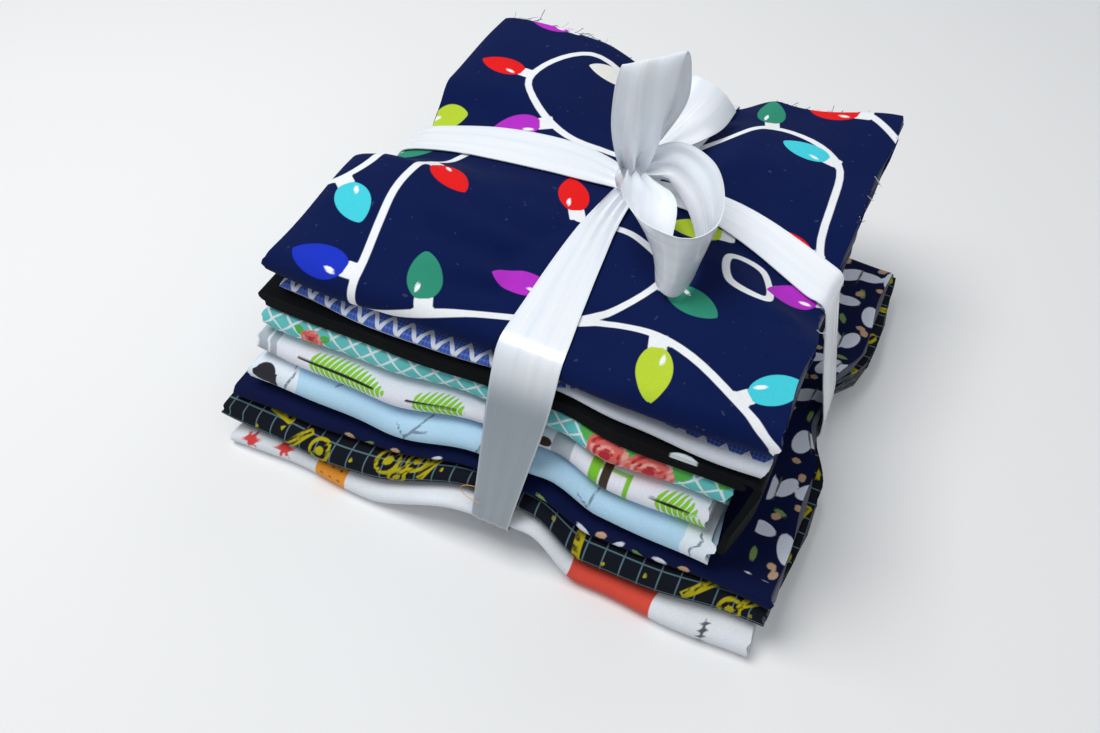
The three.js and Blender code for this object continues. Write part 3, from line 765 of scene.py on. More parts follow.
def fern_print(u, v):
    """Fronds: a blade, and how far along it each leaflet of its two sides lies."""
    fields = blank(u, "blade", "stem")
    leaflet, tip = np.zeros_like(u), np.ones_like(u)
    for x, y, degrees, long in FRONDS:
        a, b = local(u, v, x, y, degrees)
        slope = a - LEAFLET_SLOPE * np.abs(b)
        share = FROND_START + (1 - FROND_START) * np.clip(slope / long, 0, 1)
        reach = FROND_HALF * np.sin(math.pi * np.clip(share, 0, 1)) ** 0.7
        blade = np.maximum(np.abs(b) - reach, np.maximum(FROND_START * long - a, a - long))
        nearer = blade < fields["blade"]
        leaflet = np.where(nearer, slope, leaflet)
        tip = np.where(nearer, np.abs(b) / np.maximum(reach, 0.5), tip)
        stem = np.maximum(np.abs(a - STEM_MIDDLE * long) - STEM_REACH * long, np.abs(b) - STEM_HALF)
        join(fields, {"blade": blade, "stem": stem})
    brown = union(bar(u, v, *BROWN_BAR), oval(u, v, *BROWN_SPOT))
    return {**fields, "leaflet": leaflet, "tip": tip, "grey": bars(u, v, GREY_BARS),
            "bars": bars(u, v, GREEN_BARS), "brown": brown}


# Twigs of the sky print: polylines
TWIGS = [
    [(-38, -6), (-36, 0), (-31, 6), (-28, 12)], [(-36, 0), (-40, 5)], [(-33, 3), (-27, 4)],
    [(-8, -4), (-5, 4), (-6, 10)], [(40, -8), (39, 0), (41, 9), (38, 15)], [(39, 0), (34, 3)],
    [(81, -6), (80, 2), (83, 9)], [(-70, 8), (-64, 14), (-56, 16)], [(-92, -2), (-88, 6), (-90, 12)],
]
TWIG_HALF = 0.55

# White parts and dark stones of the sky print: x, v, half length, half height
CLOUD_BARS = [(-97, 0, 11, 40), (84, 0, 8, 40)]
CLOUD_OVALS = [(-58, 16, 16, 5), (10, 18, 22, 6)]
ROUND_STONE = (-101, 3, 5, 4.2)
FLAT_STONE = (-97, 1, 2, 3)


def sky_print(u, v):
    """Ragged white parts, twigs and stones."""
    clouds = union(bars(u, v, CLOUD_BARS), ovals(u, v, CLOUD_OVALS))
    return {
        "cloud": clouds - 0.6 * np.sin(v / 2.1) - 0.4 * np.sin(u / 1.7),
        "twig": union(*[stroke(u, v, twig, TWIG_HALF) for twig in TWIGS]),
        "stone": union(oval(u, v, *ROUND_STONE), bar(u, v, *FLAT_STONE)),
    }


# Small ovals of the petal print on the front band, which is otherwise left plain as painted shade: x, v, half
# length, half width, direction and field
FRONT_BITS = [
    (-60, 1, 2.4, 1.1, -15, "bud"), (-52, 0, 2.8, 1.1, 30, "leaf"), (-40, 1, 2.2, 1.2, 0, "bud"),
    (-22, 1, 2.4, 1.0, 20, "white"), (22, 1, 2.8, 1.1, -25, "leaf"), (40, 1, 3.2, 1.3, -20, "white"),
    (47, 2, 2.2, 1.3, 10, "bud"), (54, 1, 2.6, 1.1, 35, "white"), (62, 0, 3.0, 1.2, -30, "leaf"),
    (70, 1, 3.0, 1.2, -10, "white"), (79, 1, 2.2, 1.3, 0, "bud"),
]

# Painted shade: the petal print is left out on the front band, up to the first length along the sheet, and
# where it lies both left of the x and short of the second length, which takes in the dark gap beside the
# right-hand ends of the cloths above
PAINTED_SHADE_FRONT = 9
PAINTED_SHADE_GAP_X = 97
PAINTED_SHADE_GAP_END = 120
PETAL_PITCH = 17
PETAL_ROW = 22
PETAL_ROWS = range(-1, 9)
PETAL_COLUMNS = range(-7, 8)
PETAL_SHIFT = 8
PETAL_START = 6
PETAL_STRAY = 3
PETAL_TILT = 70
PETAL_SWING = 40

# One pair of ovals and the shapes round it: field, x and y from the pair's middle, half length,
# half width and turn from the pair's tilt; then a bud that lies level, and the stalk between them
PETAL_MARKS = [
    ("white", -3.4, 0, 6.6, 3.5, 0), ("white", 3.4, 2, 5.8, 3.1, -38), ("bud", 7.5, 9, 2.2, 1.6, 0),
    ("leaf", 4, -10, 3.4, 1.3, 60),
]
LEVEL_BUD = {"x": -6, "y": -9, "half_long": 1.9, "half_wide": 1.5}
STALK = [(-0.5, -7), (0.5, 6)]
STALK_HALF = 0.45


def petal_print(u, v):
    """Pairs of white ovals with small buds and leaves between, in loose rows."""
    fields = blank(u, "white", "bud", "leaf", "vein")
    bud = LEVEL_BUD
    for row in PETAL_ROWS:
        for column in PETAL_COLUMNS:
            shift = PETAL_SHIFT if row % 2 else 0
            x = PETAL_PITCH * column + shift + PETAL_STRAY * math.sin(2.1 * row + column)
            y = PETAL_ROW * row + PETAL_START + PETAL_STRAY * math.sin(1.7 * column + row)
            tilt = PETAL_TILT + PETAL_SWING * math.sin(3.1 * column + 1.3 * row)
            for name, dx, dy, long, wide, turn in PETAL_MARKS:
                join(fields, {name: oval(u, v, x + dx, y + dy, long, wide, tilt + turn)})
            join(fields, {
                "bud": oval(u, v, x + bud["x"], y + bud["y"], bud["half_long"], bud["half_wide"]),
                "vein": stroke(u, v, [(x + dx, y + dy) for dx, dy in STALK], STALK_HALF),
            })
    # Painted shade: no print on the front band, nor in the gap beside the right-hand ends of the cloths above
    painted_shade = np.maximum(PAINTED_SHADE_FRONT - v, np.minimum(PAINTED_SHADE_GAP_X - u, PAINTED_SHADE_GAP_END - v))
    fields = {name: np.maximum(field, painted_shade) for name, field in fields.items()}
    for *place, name in FRONT_BITS:
        join(fields, {name: oval(u, v, *place)})
    return fields


# Sewing-box shapes of the grid print: rings x, v, radius and tapes x, v, direction, length
RINGS = [(-70, 3, 4.2), (-42, 7, 4.6), (-30, 8, 4.0), (100, 1, 4.2), (-36, 1, 3.2), (12, 18, 4)]
TAPES = [(-81, 3, 48, 7), (-24, 6, 62, 6), (40, 4, 96, 6.5), (88, 6, 38, 8), (-92, 9, -12, 6), (64, 12, 8, 5)]
RIM_HALF = 0.7
TAPE_HALF = 1.7

# Ticks of a tape: places in half lengths of it, half width, reach and place across it
TICKS = np.arange(-0.85, 0.9, 0.28)
TICK_HALF = 0.45
TICK_REACH = 1.4
TICK_ASIDE = 0.7

# The same shapes again along the right-hand side, and small dots along the front
SIDE_PITCH = 42
SIDE_COUNT = 5
DOT_COUNT = 16
DOT_RADIUS = 0.9


def grid_print(u, v):
    """Yellow rings and tapes with dark ticks."""
    side = range(SIDE_COUNT)
    rings = RINGS + [(108, 30 + SIDE_PITCH * k, 4.4) for k in side]
    tapes = TAPES + [(110, 8 + SIDE_PITCH * k, 30 + 40 * k, 6.5) for k in side]
    fields = blank(u, "yellow", "tick")
    for x, y, radius in rings:
        rim = np.abs(oval(u, v, x, y, radius, radius)) - RIM_HALF
        join(fields, {"yellow": union(rim, oval(u, v, x, y, radius * 0.45, radius * 0.4))})
    for x, y, degrees, long in tapes:
        a, b = local(u, v, x, y, degrees)
        reach = np.abs(b - TICK_ASIDE) - TICK_REACH
        ticks = [np.maximum(np.abs(a - k * long) - TICK_HALF, reach) for k in TICKS]
        join(fields, {"yellow": bar(u, v, x, y, long, TAPE_HALF, degrees), "tick": union(*ticks)})
    for k in range(DOT_COUNT):
        x, y = -100 + 14 * k + 3 * math.sin(5 * k), 1.5 + 4 * math.sin(2.3 * k)
        join(fields, {"yellow": oval(u, v, x, y, DOT_RADIUS, DOT_RADIUS)})
    return fields


# Stars of the bottom print: x, v, half length of a ray
STARS = [(-103, 3.5, 4.6), (-88, 4.5, 5.0), (-96, 18, 4.6), (-30, 20, 4.6), (98, 20, 4.6)]
RAY_HALF = 0.9

# Orange part with two bites out of it, coral block and stitched line
ORANGE_BAR = (-65, 2, 7.2, 9)
ORANGE_BITES = [(-66, 10, 3, 3), (-58, -4, 2, 2)]
ORANGE_DOTS = [(-69 + 4 * (k % 3), -2 + 4 * (k // 3), 0.8, 0.8) for k in range(9)]
CORAL_BAR = (56, 2, 17, 14)
STITCH_LINE = [(92, -9), (93, 0), (92, 9)]
STITCHES = [[(90.5, k), (94.5, k + 1)] for k in np.arange(-6, 8, 2.4)]
STITCH_HALF = 0.4
STITCH_LINE_HALF = 0.45


def bottom_print(u, v):
    """Small stars, an orange dotted part, a coral block and a stitched line."""
    fields = blank(u, "star")
    for x, y, size in STARS:
        rays = [(x, y, size, RAY_HALF, 60 * k + 10) for k in range(3)]
        join(fields, {"star": ovals(u, v, rays + [(x, y, 0.25 * size, 0.25 * size)])})
    stitches = [stroke(u, v, stitch, STITCH_HALF) for stitch in STITCHES]
    return {
        **fields,
        "orange": np.maximum(bar(u, v, *ORANGE_BAR), -ovals(u, v, ORANGE_BITES)),
        "dot": ovals(u, v, ORANGE_DOTS),
        "coral": bar(u, v, *CORAL_BAR) + 1.2 * np.sin(v / 4) - 0.1 * v,
        "stitch": union(stroke(u, v, STITCH_LINE, STITCH_LINE_HALF), *stitches),
    }


class Graph:
    """Short names for building a material's nodes."""

    def __init__(self, name):
        self.material = bpy.data.materials.new(name)
        self.material.use_nodes = True
        self.tree = self.material.node_tree
        self.shader = self.tree.nodes["Principled BSDF"]

    def node(self, kind, **settings):
        made = self.tree.nodes.new(kind)
        for key, value in settings.items():
            setattr(made, key, value)
        return made

    def put(self, socket, value):
        if isinstance(value, bpy.types.NodeSocket):
            self.tree.links.new(value, socket)
        else:
            socket.default_value = value

    def fill(self, node, values):
        """Values or links for a node's named inputs."""
        for name, value in values.items():
            self.put(node.inputs[name], value)
        return node.outputs[0]

    def math(self, operation, *values):
        made = self.node("ShaderNodeMath", operation=operation)
        for socket, value in zip(made.inputs, values):
            self.put(socket, value)
        return made.outputs[0]

    def inside(self, field, soft=0.25):
        """1 where the field is below zero."""
        made = self.node("ShaderNodeMapRange", interpolation_type="SMOOTHSTEP")
        return self.fill(made, {"Value": field, "From Min": soft, "From Max": -soft})

    def mix(self, share, a, b, blend="MIX"):
        made = self.node("ShaderNodeMix", data_type="RGBA", blend_type=blend)
        self.put(made.inputs[0], share)
        for socket, value in ((made.inputs[6], a), (made.inputs[7], b)):
            self.put(socket, (*value, 1) if isinstance(value, tuple) else value)
        return made.outputs[2]

    def field(self, name, output="Fac"):
        return self.node("ShaderNodeAttribute", attribute_name=name).outputs[output]

    def print_place(self):
        """The print's two directions in millimetres."""
        uv = self.node("ShaderNodeUVMap", uv_map="print").outputs[0]
        parts = self.node("ShaderNodeSeparateXYZ")
        self.put(parts.inputs[0], uv)
        return [self.math("MULTIPLY", parts.outputs[k], 1 / UV_SCALE) for k in (0, 1)]

    def noise(self, scale, detail=3.0, place=None):
        made = self.node("ShaderNodeTexNoise")
        if place is None:
            place = self.node("ShaderNodeTexCoord").outputs["Object"]
        self.fill(made, {"Vector": place, "Scale": scale, "Detail": detail})
        return made.outputs["Fac"]

    def ranged(self, value, low, high):
        """The middle half of a value's range, spread from low to high."""
        made = self.node("ShaderNodeMapRange")
        limits = {"From Min": 0.25, "From Max": 0.75, "To Min": low, "To Max": high}
        return self.fill(made, {"Value": value, **limits})

    def bump(self, height, strength, distance, under=None):
        made = self.node("ShaderNodeBump")
        values = {"Height": height, "Strength": strength, "Distance": distance}
        if under is not None:
            values["Normal"] = under
        return self.fill(made, values)


# Plain weave: pitch in millimetres, depth of its threads and of the cloth's unevenness in metres
WEAVE_PITCH = 0.55
WEAVE_DEPTH = 0.00006
UNEVEN_DEPTH = 0.0006

# Stripes of a striped shape in shares of their pitch: half width, and how much less at the tip
STRIPE_HALF = 0.42
STRIPE_TAPER = 0.3

# Paler reverse of the cloth, and lint on it
REVERSE_MIX = 0.6
REVERSE_GREY = (0.42, 0.43, 0.46)
LINT = (0.55, 0.58, 0.66)
LINT_FROM = 0.76


def cloth_material(name, ground, inks, pattern=None, reverse=0.3, sheen=0.12, dust=0.0, gloss=0.25):
    """Printed plain-weave cotton. inks are in order: field, colour or colour field, and for a
    striped shape the fields along and across its stripes, and their pitch."""
    graph = Graph(name)
    u, v = graph.print_place()
    colour = ground
    if pattern:
        colour = pattern(graph, u, v, ground)
    for field, ink, *stripes in inks:
        ink = graph.field(ink, "Color") if isinstance(ink, str) else ink
        share = graph.inside(graph.field(field))
        if stripes:
            along, tip, pitch = stripes
            taper = graph.math("MULTIPLY", graph.math("POWER", graph.field(tip), 2.0), -STRIPE_TAPER * pitch)
            half = graph.math("ADD", taper, STRIPE_HALF * pitch)
            beside = graph.math("SUBTRACT", graph.math("PINGPONG", graph.field(along), pitch / 2), half)
            share = graph.math("MULTIPLY", share, graph.inside(beside, 0.2))
        colour = graph.mix(share, colour, ink)
    paler = graph.mix(REVERSE_MIX, colour, REVERSE_GREY)
    colour = graph.mix(graph.math("MULTIPLY", graph.field("reverse"), reverse / REVERSE_MIX), colour, paler)
    cloudy = graph.ranged(graph.noise(38, 4), 0.94, 1.03)
    flecks = graph.ranged(graph.noise(1500, 2), 0.95, 1.05)
    tone = graph.math("MULTIPLY", cloudy, flecks)
    grey = graph.fill(graph.node("ShaderNodeCombineColor"), {"Red": tone, "Green": tone, "Blue": tone})
    colour = graph.mix(1.0, colour, grey, "MULTIPLY")
    if dust:
        lint = graph.math("GREATER_THAN", graph.noise(420, 1), LINT_FROM)
        colour = graph.mix(graph.math("MULTIPLY", lint, dust), colour, LINT)
    turns = [graph.math("MULTIPLY", place, 2 * math.pi / WEAVE_PITCH) for place in (u, v)]
    weave = graph.math("MULTIPLY", *[graph.math("SINE", turn) for turn in turns])
    threads = graph.bump(weave, 0.35, WEAVE_DEPTH)
    graph.fill(graph.shader, {
        "Base Color": colour,
        "Roughness": graph.ranged(graph.noise(60, 3), 0.80, 0.95),
        "Sheen Weight": sheen,
        "Sheen Roughness": 0.45,
        "Specular IOR Level": gloss,
        "Normal": graph.bump(graph.noise(70, 3), 0.12, UNEVEN_DEPTH, threads),
    })
    return graph.material


# Line pitch and half width of the lattice and grid prints
LATTICE_PITCH = 3.4
LATTICE_HALF = 0.55
LATTICE_WHITE = (0.72, 0.84, 0.86)
GRID_PITCH = 3.6
GRID_HALF = 0.28
GRID_LINE = (0.10, 0.17, 0.20)


def lattice_pattern(graph, u, v, ground):
    """White diamond lattice."""
    lines = []
    for op in ("ADD", "SUBTRACT"):
        along = graph.math(op, graph.math("MULTIPLY", u, 0.8), v)
        lines.append(graph.math("PINGPONG", along, LATTICE_PITCH))
    off = graph.math("SUBTRACT", graph.math("MINIMUM", *lines), LATTICE_HALF)
    return graph.mix(graph.inside(off, 0.2), ground, LATTICE_WHITE)


def grid_pattern(graph, u, v, ground):
    """Thin square grid."""
    lines = [graph.math("PINGPONG", place, GRID_PITCH) for place in (u, v)]
    off = graph.math("SUBTRACT", graph.math("MINIMUM", *lines), GRID_HALF)
    return graph.mix(graph.inside(off, 0.15), ground, GRID_LINE)


# Zigzag print: sizes of the zigzags in millimetres, and the dots of its ground
ZIGZAG_PITCH = 7.4
ZIGZAG_ROW = 9
ZIGZAG_SLOPE = 1.5
ZIGZAG_HALF = 1.3
ZIGZAG_WHITE = (0.74, 0.79, 0.88)
DOT_PITCH = 0.7
DOT_EDGE = 0.06
DOT_BLUE = (0.12, 0.20, 0.58)


def zigzag_pattern(graph, u, v, ground):
    """White zigzag rows on a finely dotted ground."""
    rise = graph.math("MULTIPLY", graph.math("PINGPONG", u, ZIGZAG_PITCH / 2), ZIGZAG_SLOPE)
    row = graph.math("WRAP", v, ZIGZAG_ROW, 0.0)
    away = graph.math("ABSOLUTE", graph.math("SUBTRACT", row, rise))
    dots = graph.math("MULTIPLY", *[graph.math("PINGPONG", place, DOT_PITCH) for place in (u, v)])
    colour = graph.mix(graph.inside(graph.math("SUBTRACT", dots, DOT_EDGE), 0.05), ground, DOT_BLUE)
    return graph.mix(graph.inside(graph.math("SUBTRACT", away, ZIGZAG_HALF), 0.2), colour, ZIGZAG_WHITE)


# Ground colour, inks in the order in which they are printed, and finish of each cloth
WHITE = (0.80, 0.83, 0.88)
MATERIALS = {
    "bottom_cloth": dict(ground=WHITE, inks=[
        ("coral", (0.72, 0.075, 0.045)), ("orange", (0.85, 0.32, 0.03)), ("dot", (0.10, 0.05, 0.02)),
        ("star", (0.72, 0.06, 0.06)), ("stitch", (0.09, 0.10, 0.13))]),
    "grid_cloth": dict(ground=(0.006, 0.008, 0.014), pattern=grid_pattern, inks=[
        ("yellow", (0.44, 0.38, 0.01)), ("tick", (0.02, 0.02, 0.015))], sheen=0.03, gloss=0.1),
    "petal_cloth": dict(ground=(0.003, 0.007, 0.046), inks=[
        ("leaf", (0.20, 0.32, 0.10)), ("bud", (0.55, 0.36, 0.22)), ("white", (0.74, 0.79, 0.90)),
        ("vein", (0.12, 0.10, 0.08))], sheen=0.03, gloss=0.1),
    "sky_cloth": dict(ground=(0.46, 0.70, 0.88), inks=[
        ("cloud", (0.78, 0.85, 0.92)), ("twig", (0.20, 0.28, 0.36)), ("stone", (0.02, 0.02, 0.03))]),
    "fern_cloth": dict(ground=(0.80, 0.82, 0.90), inks=[
        ("grey", (0.42, 0.47, 0.52)), ("blade", (0.25, 0.62, 0.03), "leaflet", "tip", LEAFLET_PITCH),
        ("bars", (0.20, 0.55, 0.03)), ("brown", (0.045, 0.03, 0.015)), ("stem", (0.015, 0.014, 0.012))]),
    "lattice_cloth": dict(ground=(0.13, 0.56, 0.56), pattern=lattice_pattern, inks=[
        ("leaf", (0.09, 0.45, 0.08)), ("rose", (0.76, 0.14, 0.12)), ("edge", (0.84, 0.40, 0.34)),
        ("line", (0.42, 0.02, 0.03)), ("core", (0.50, 0.02, 0.03))]),
    "black_cloth": dict(ground=(0.004, 0.0045, 0.006), inks=[
        ("moon", (0.70, 0.76, 0.78))], sheen=0.02, reverse=0.0, gloss=0.08),
    "zigzag_cloth": dict(ground=(0.04, 0.10, 0.46), pattern=zigzag_pattern, inks=[
        ("border", (0.62, 0.66, 0.72))]),
    "top_cloth": dict(ground=(0.0025, 0.0095, 0.068), inks=[
        ("cord", INK["white"]), ("bulb", "bulb_colour"), ("glint", (0.92, 0.94, 0.95))],
        sheen=0.03, dust=0.05, gloss=0.08),
}
PRINTS = {
    "bottom_cloth": bottom_print, "grid_cloth": grid_print, "petal_cloth": petal_print,
    "sky_cloth": sky_print, "fern_cloth": fern_print, "lattice_cloth": lattice_print,
    "black_cloth": black_print, "zigzag_cloth": zigzag_print, "top_cloth": top_print,
}


def add_piece(piece):
    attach(piece, "root")
    return piece


# Direction that no thread runs in
SKEW = np.array([0.31, 0.52, 0.79])


def tubes(paths, radius):
    """Four-sided tubes along paths of points: points and quads."""
    points, faces, start = [], [], 0
    for path in paths:
        along = unit(np.gradient(path, axis=0))
        side = unit(np.cross(along, SKEW))
        up = np.cross(along, side)
        points.append(np.stack([path + radius * d for d in (side, up, -side, -up)], 1).reshape(-1, 3))
        i = start + 4 * np.arange(len(path) - 1)[:, None]
        j = np.arange(4)[None, :]
        k = (j + 1) % 4
        last = start + 4 * (len(path) - 1)
        ends = np.array([[start + 3, start + 2, start + 1, start], [last, last + 1, last + 2, last + 3]])
        faces += [quads(i + j, i + k, i + 4 + k, i + 4 + j), ends]
        start += 4 * len(path)
    return np.concatenate(points), np.concatenate(faces)


def make_threads(name, paths, colours):
    """Loose threads in stack millimetres as one piece, each thread in one of two colours."""
    points, faces = tubes(paths, THREAD_RADIUS)
    pick = np.concatenate([np.full(4 * len(path), k % 2, float) for k, path in enumerate(paths)])
    graph = Graph(name)
    colour = graph.mix(graph.field("pick"), *colours)
    rough = graph.ranged(graph.noise(300, 2), 0.75, 0.95)
    graph.fill(graph.shader, {"Base Color": colour, "Roughness": rough})
    uv = np.zeros((len(points), 2))
    piece = mesh_object(name, to_frame(points), faces, uv, {"pick": pick}, graph.material)
    return add_piece(piece)


def frayed(starts, out, length):
    """Short curling threads from points on an edge."""
    paths = []
    for start in starts:
        aim = out + RANDOM.normal(0, 0.35, 3)
        bend = RANDOM.normal(0, 0.5, 3)
        far = length * RANDOM.uniform(0.4, 1.0)
        route = [start - 0.8 * out, start + 0.45 * far * aim, start + far * (aim + bend)]
        paths.append(path_points(route, 5))
    return paths


# Frayed edges of the top cloth: count of threads, direction and length
FRAYED_RIGHT = (16, np.array([0.9, 0, -0.6]), 2.2)
FRAYED_CORNER = (18, np.array([0.9, 0.7, 0.1]), 5)
FRAYED_BACK = (40, np.array([0.5, 0.9, 0.0]), 2)

# Stretch of the top face along the sheet that frays at the right, and where its back part starts
FACE_RUN = (20, 185)
UPPER_FROM = 100


def top_threads(outer, v):
    """Threads of the top cloth's right-hand and back edges, longest at the back-left corner."""
    edge = outer / MM - STACK_ORIGIN
    rows = len(edge)
    face = np.flatnonzero((v[0] > FACE_RUN[0]) & (v[0] < FACE_RUN[1]))
    upper = np.flatnonzero(v[0] > UPPER_FROM)[:-1]
    far = upper[np.argmax(edge[rows // 2, upper, 1])]
    right = edge[-1, RANDOM.choice(face, FRAYED_RIGHT[0])]
    corner = edge[RANDOM.integers(2, rows // 4, FRAYED_CORNER[0]), far]
    back = edge[RANDOM.integers(rows // 4, rows - 3, FRAYED_BACK[0]), far]
    ends = ((right, FRAYED_RIGHT), (corner, FRAYED_CORNER), (back, FRAYED_BACK))
    return [path for starts, (_, out, length) in ends for path in frayed(starts, out, length)]


# Loose threads: radius, and the two colours of each piece
THREAD_RADIUS = 0.14
TOP_THREADS = ((0.02, 0.03, 0.11), (0.62, 0.68, 0.76))
ORANGE_THREADS = ((0.72, 0.34, 0.06), (0.72, 0.34, 0.06))

# Open loop of loose thread at the front, beside the ribbon, from one angle to another in degrees
THREAD_LOOP = {"x": -3, "y": -121, "z": 28, "half_wide": 5, "half_high": 2.5, "forward": 2}
LOOP_ANGLES = (60, 330)
LOOP_STEPS = 24


def thread_loop():
    """Open loop that starts at the cloth and ends forward of it."""
    loop = THREAD_LOOP
    share = np.linspace(0, 1, LOOP_STEPS)
    turn = np.radians(lerp(*LOOP_ANGLES, share))
    x = loop["x"] + loop["half_wide"] * np.cos(turn)
    y = loop["y"] + loop["forward"] * (1 - 2 * share)
    z = loop["z"] + loop["half_high"] * np.sin(turn)
    return np.stack([x, y, z], 1)


def make_cloth(number):
    """Sheet of one cloth with its print, material and loose threads; gives its points."""
    cloth = CLOTHS[number]
    name = cloth["name"]
    build = side_folded_cloth if name == "black_cloth" else front_folded_cloth
    (outer, inner), u, v = build(number)
    rows, columns = u.shape
    points = np.concatenate([outer.reshape(-1, 3), inner.reshape(-1, 3)])
    uv = np.stack([u.ravel(), v.ravel()], 1)
    fields = {}
    for key, values in PRINTS[name](u, v).items():
        flat = values.reshape(rows * columns, -1).squeeze()
        fields[key] = np.concatenate([flat, flat])
    fields["reverse"] = np.repeat([0.0, 1.0], rows * columns)
    material = cloth_material(name, **MATERIALS[name])
    piece = mesh_object(name + "_sheet", points, grid_faces(rows, columns, False),
                        np.concatenate([uv, uv]), fields, material)
    add_piece(piece)
    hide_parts(name)
    threads = []
    if name == "top_cloth":
        threads = [make_threads("top_cloth_threads", top_threads(outer, v), TOP_THREADS)]
    if name == "bottom_cloth":
        threads = [make_threads("bottom_cloth_thread", [thread_loop()], ORANGE_THREADS)]
    return points


sheet_points = [make_cloth(number) for number in range(len(CLOTHS))]
all_points = np.concatenate(sheet_points) / MM - STACK_ORIGIN


# The ribbon round the stack. Columns: angle about the stack's middle seen along the other tie,
# where the band's middle lies, and its width there
LENGTH_TIE = np.array([
    (-90, 8, 24), (-30, 12, 24), (19, 14, 23), (45, 12, 17), (77, 4.5, 10), (110, 3, 14), (135, 4, 18.5),
    (147, 5, 21.5), (154, 6, 25), (168, 6.5, 24), (196, 6, 14), (230, 7, 20), (270, 8, 24),
])
CROSS_TIE = np.array([
    (-90, 8, 24), (-46, 7.5, 24), (-32, -4, 23), (-22, -14, 22), (-10, -17, 21), (5, -18.5, 23),
    (21, -15, 23), (30, -3.5, 20.5), (37, 2.5, 19), (47, 8, 16.5), (66, 6.5, 13), (84, 5, 11), (104, 8, 20),
    (125, 8.5, 23.5), (142, 6, 23), (158, 2, 18), (166, 0.5, 17), (185, 0, 20), (204, 1, 22), (225, 5, 24),
    (270, 8, 24),
])

# Bow bands. Columns: middle x, y, z, direction across x, y, z, width, cup
UPRIGHT_LOOP = [
    (6, 0, 97, 0.74, 0.66, 0.05, 9, 0), (7, -0.6, 108, 0.74, 0.66, 0.05, 18, 1),
    (7, -0.4, 122, 0.74, 0.66, 0.05, 24, 1.5), (6.4, 2, 136, 0.74, 0.66, 0.06, 25, 0.6),
    (6.6, 6.4, 143, 0.74, 0.66, 0.08, 25, 0), (8, 10.2, 137, 0.74, 0.66, 0.06, 25, 0.6),
    (10, 10.6, 122, 0.74, 0.66, 0.05, 23, 1), (8.4, 7, 108, 0.74, 0.66, 0.05, 15, 1),
    (6, 3, 98, 0.7, 0.7, 0, 8, 0),
]
FRONT_LOOP = [
    (8, 2, 98, 0.2, 0.6, 0.75, 8, 0), (21, 4, 104, 0.1, 0.4, 0.9, 16, 0),
    (34, -5, 105, 0.25, 0.25, 0.9, 21, 0), (43, -20, 105, 0.25, 0.1, 0.92, 23, 0),
    (48, -39, 105.5, 0.15, 0, 0.97, 24, 0), (43, -53, 106, -0.05, 0.1, 0.98, 25, 0),
    (31.5, -49, 106.5, -0.35, 0, 0.93, 25, 0), (24, -33, 106, -0.72, -0.25, 0.6, 25, 0.5),
    (18, -16, 104, -0.85, -0.38, 0.25, 21, 1), (9, -4, 99.5, -0.88, -0.35, 0.2, 9, 0),
]
FREE_END = [
    (6, 3, 97, 0.95, -0.3, 0, 8, 0), (10, 25, 94.5, 0.95, -0.25, -0.08, 14, 0.5),
    (14, 44, 93, 0.92, -0.2, -0.25, 19, 1.5), (17, 58, 93.5, 0.88, -0.1, -0.4, 23, 3),
    (18, 69, 96, 0.85, 0, -0.5, 25, 4),
]
RIBBON_WIDTH = 25
ACROSS = np.linspace(-0.5, 0.5, 15)
RING_STEP = 1.6
TIE_MARGIN = 3

# Pleats where the band is gathered, deepest near the knot, and the folds round the knot itself
PLEAT_DEPTH = 2.2
PLEAT_REACH = 45
SWELL_REACH = 32
RIPPLE = 0.06
TIE_PLEATS = 3.5

# Painted shade darkens the length tie's drop at the front: from, to, forward of its middle and below the top
PAINTED_SHADE_FORWARD = (78, 92)
PAINTED_SHADE_BELOW = (4, 26)


def tie_value(table, turn, column):
    """Value of a tie column at angles in degrees."""
    return np.interp(np.where(turn < -90, turn + 360, turn), table[:, 0], table[:, column])


def softened(values, rounds=30):
    """Values along a closed ring, evened out."""
    for _ in range(rounds):
        values = 0.25 * np.roll(values, 1, 0) + 0.5 * values + 0.25 * np.roll(values, -1, 0)
    return values


def tight_outline(points):
    """Tight outline round a set of points, counter-clockwise."""
    order = points[np.lexsort((points[:, 1], points[:, 0]))]

    def half(rows):
        kept = []
        for p in rows:
            while len(kept) > 1:
                a, b = kept[-2], kept[-1]
                if (b[0] - a[0]) * (p[1] - a[1]) - (b[1] - a[1]) * (p[0] - a[0]) > 0:
                    break
                kept.pop()
            kept.append(p)
        return kept[:-1]
    return np.array(half(order) + half(order[::-1]))


def even_ring(outline, step):
    """The closed outline at even spacing, its corners softened."""
    closed = np.vstack([outline, outline[:1]])
    run = run_length(closed)
    at = np.linspace(0, run[-1], int(run[-1] / step), endpoint=False)
    return softened(np.stack([np.interp(at, run, closed[:, k]) for k in (0, 1)], 1), 3)


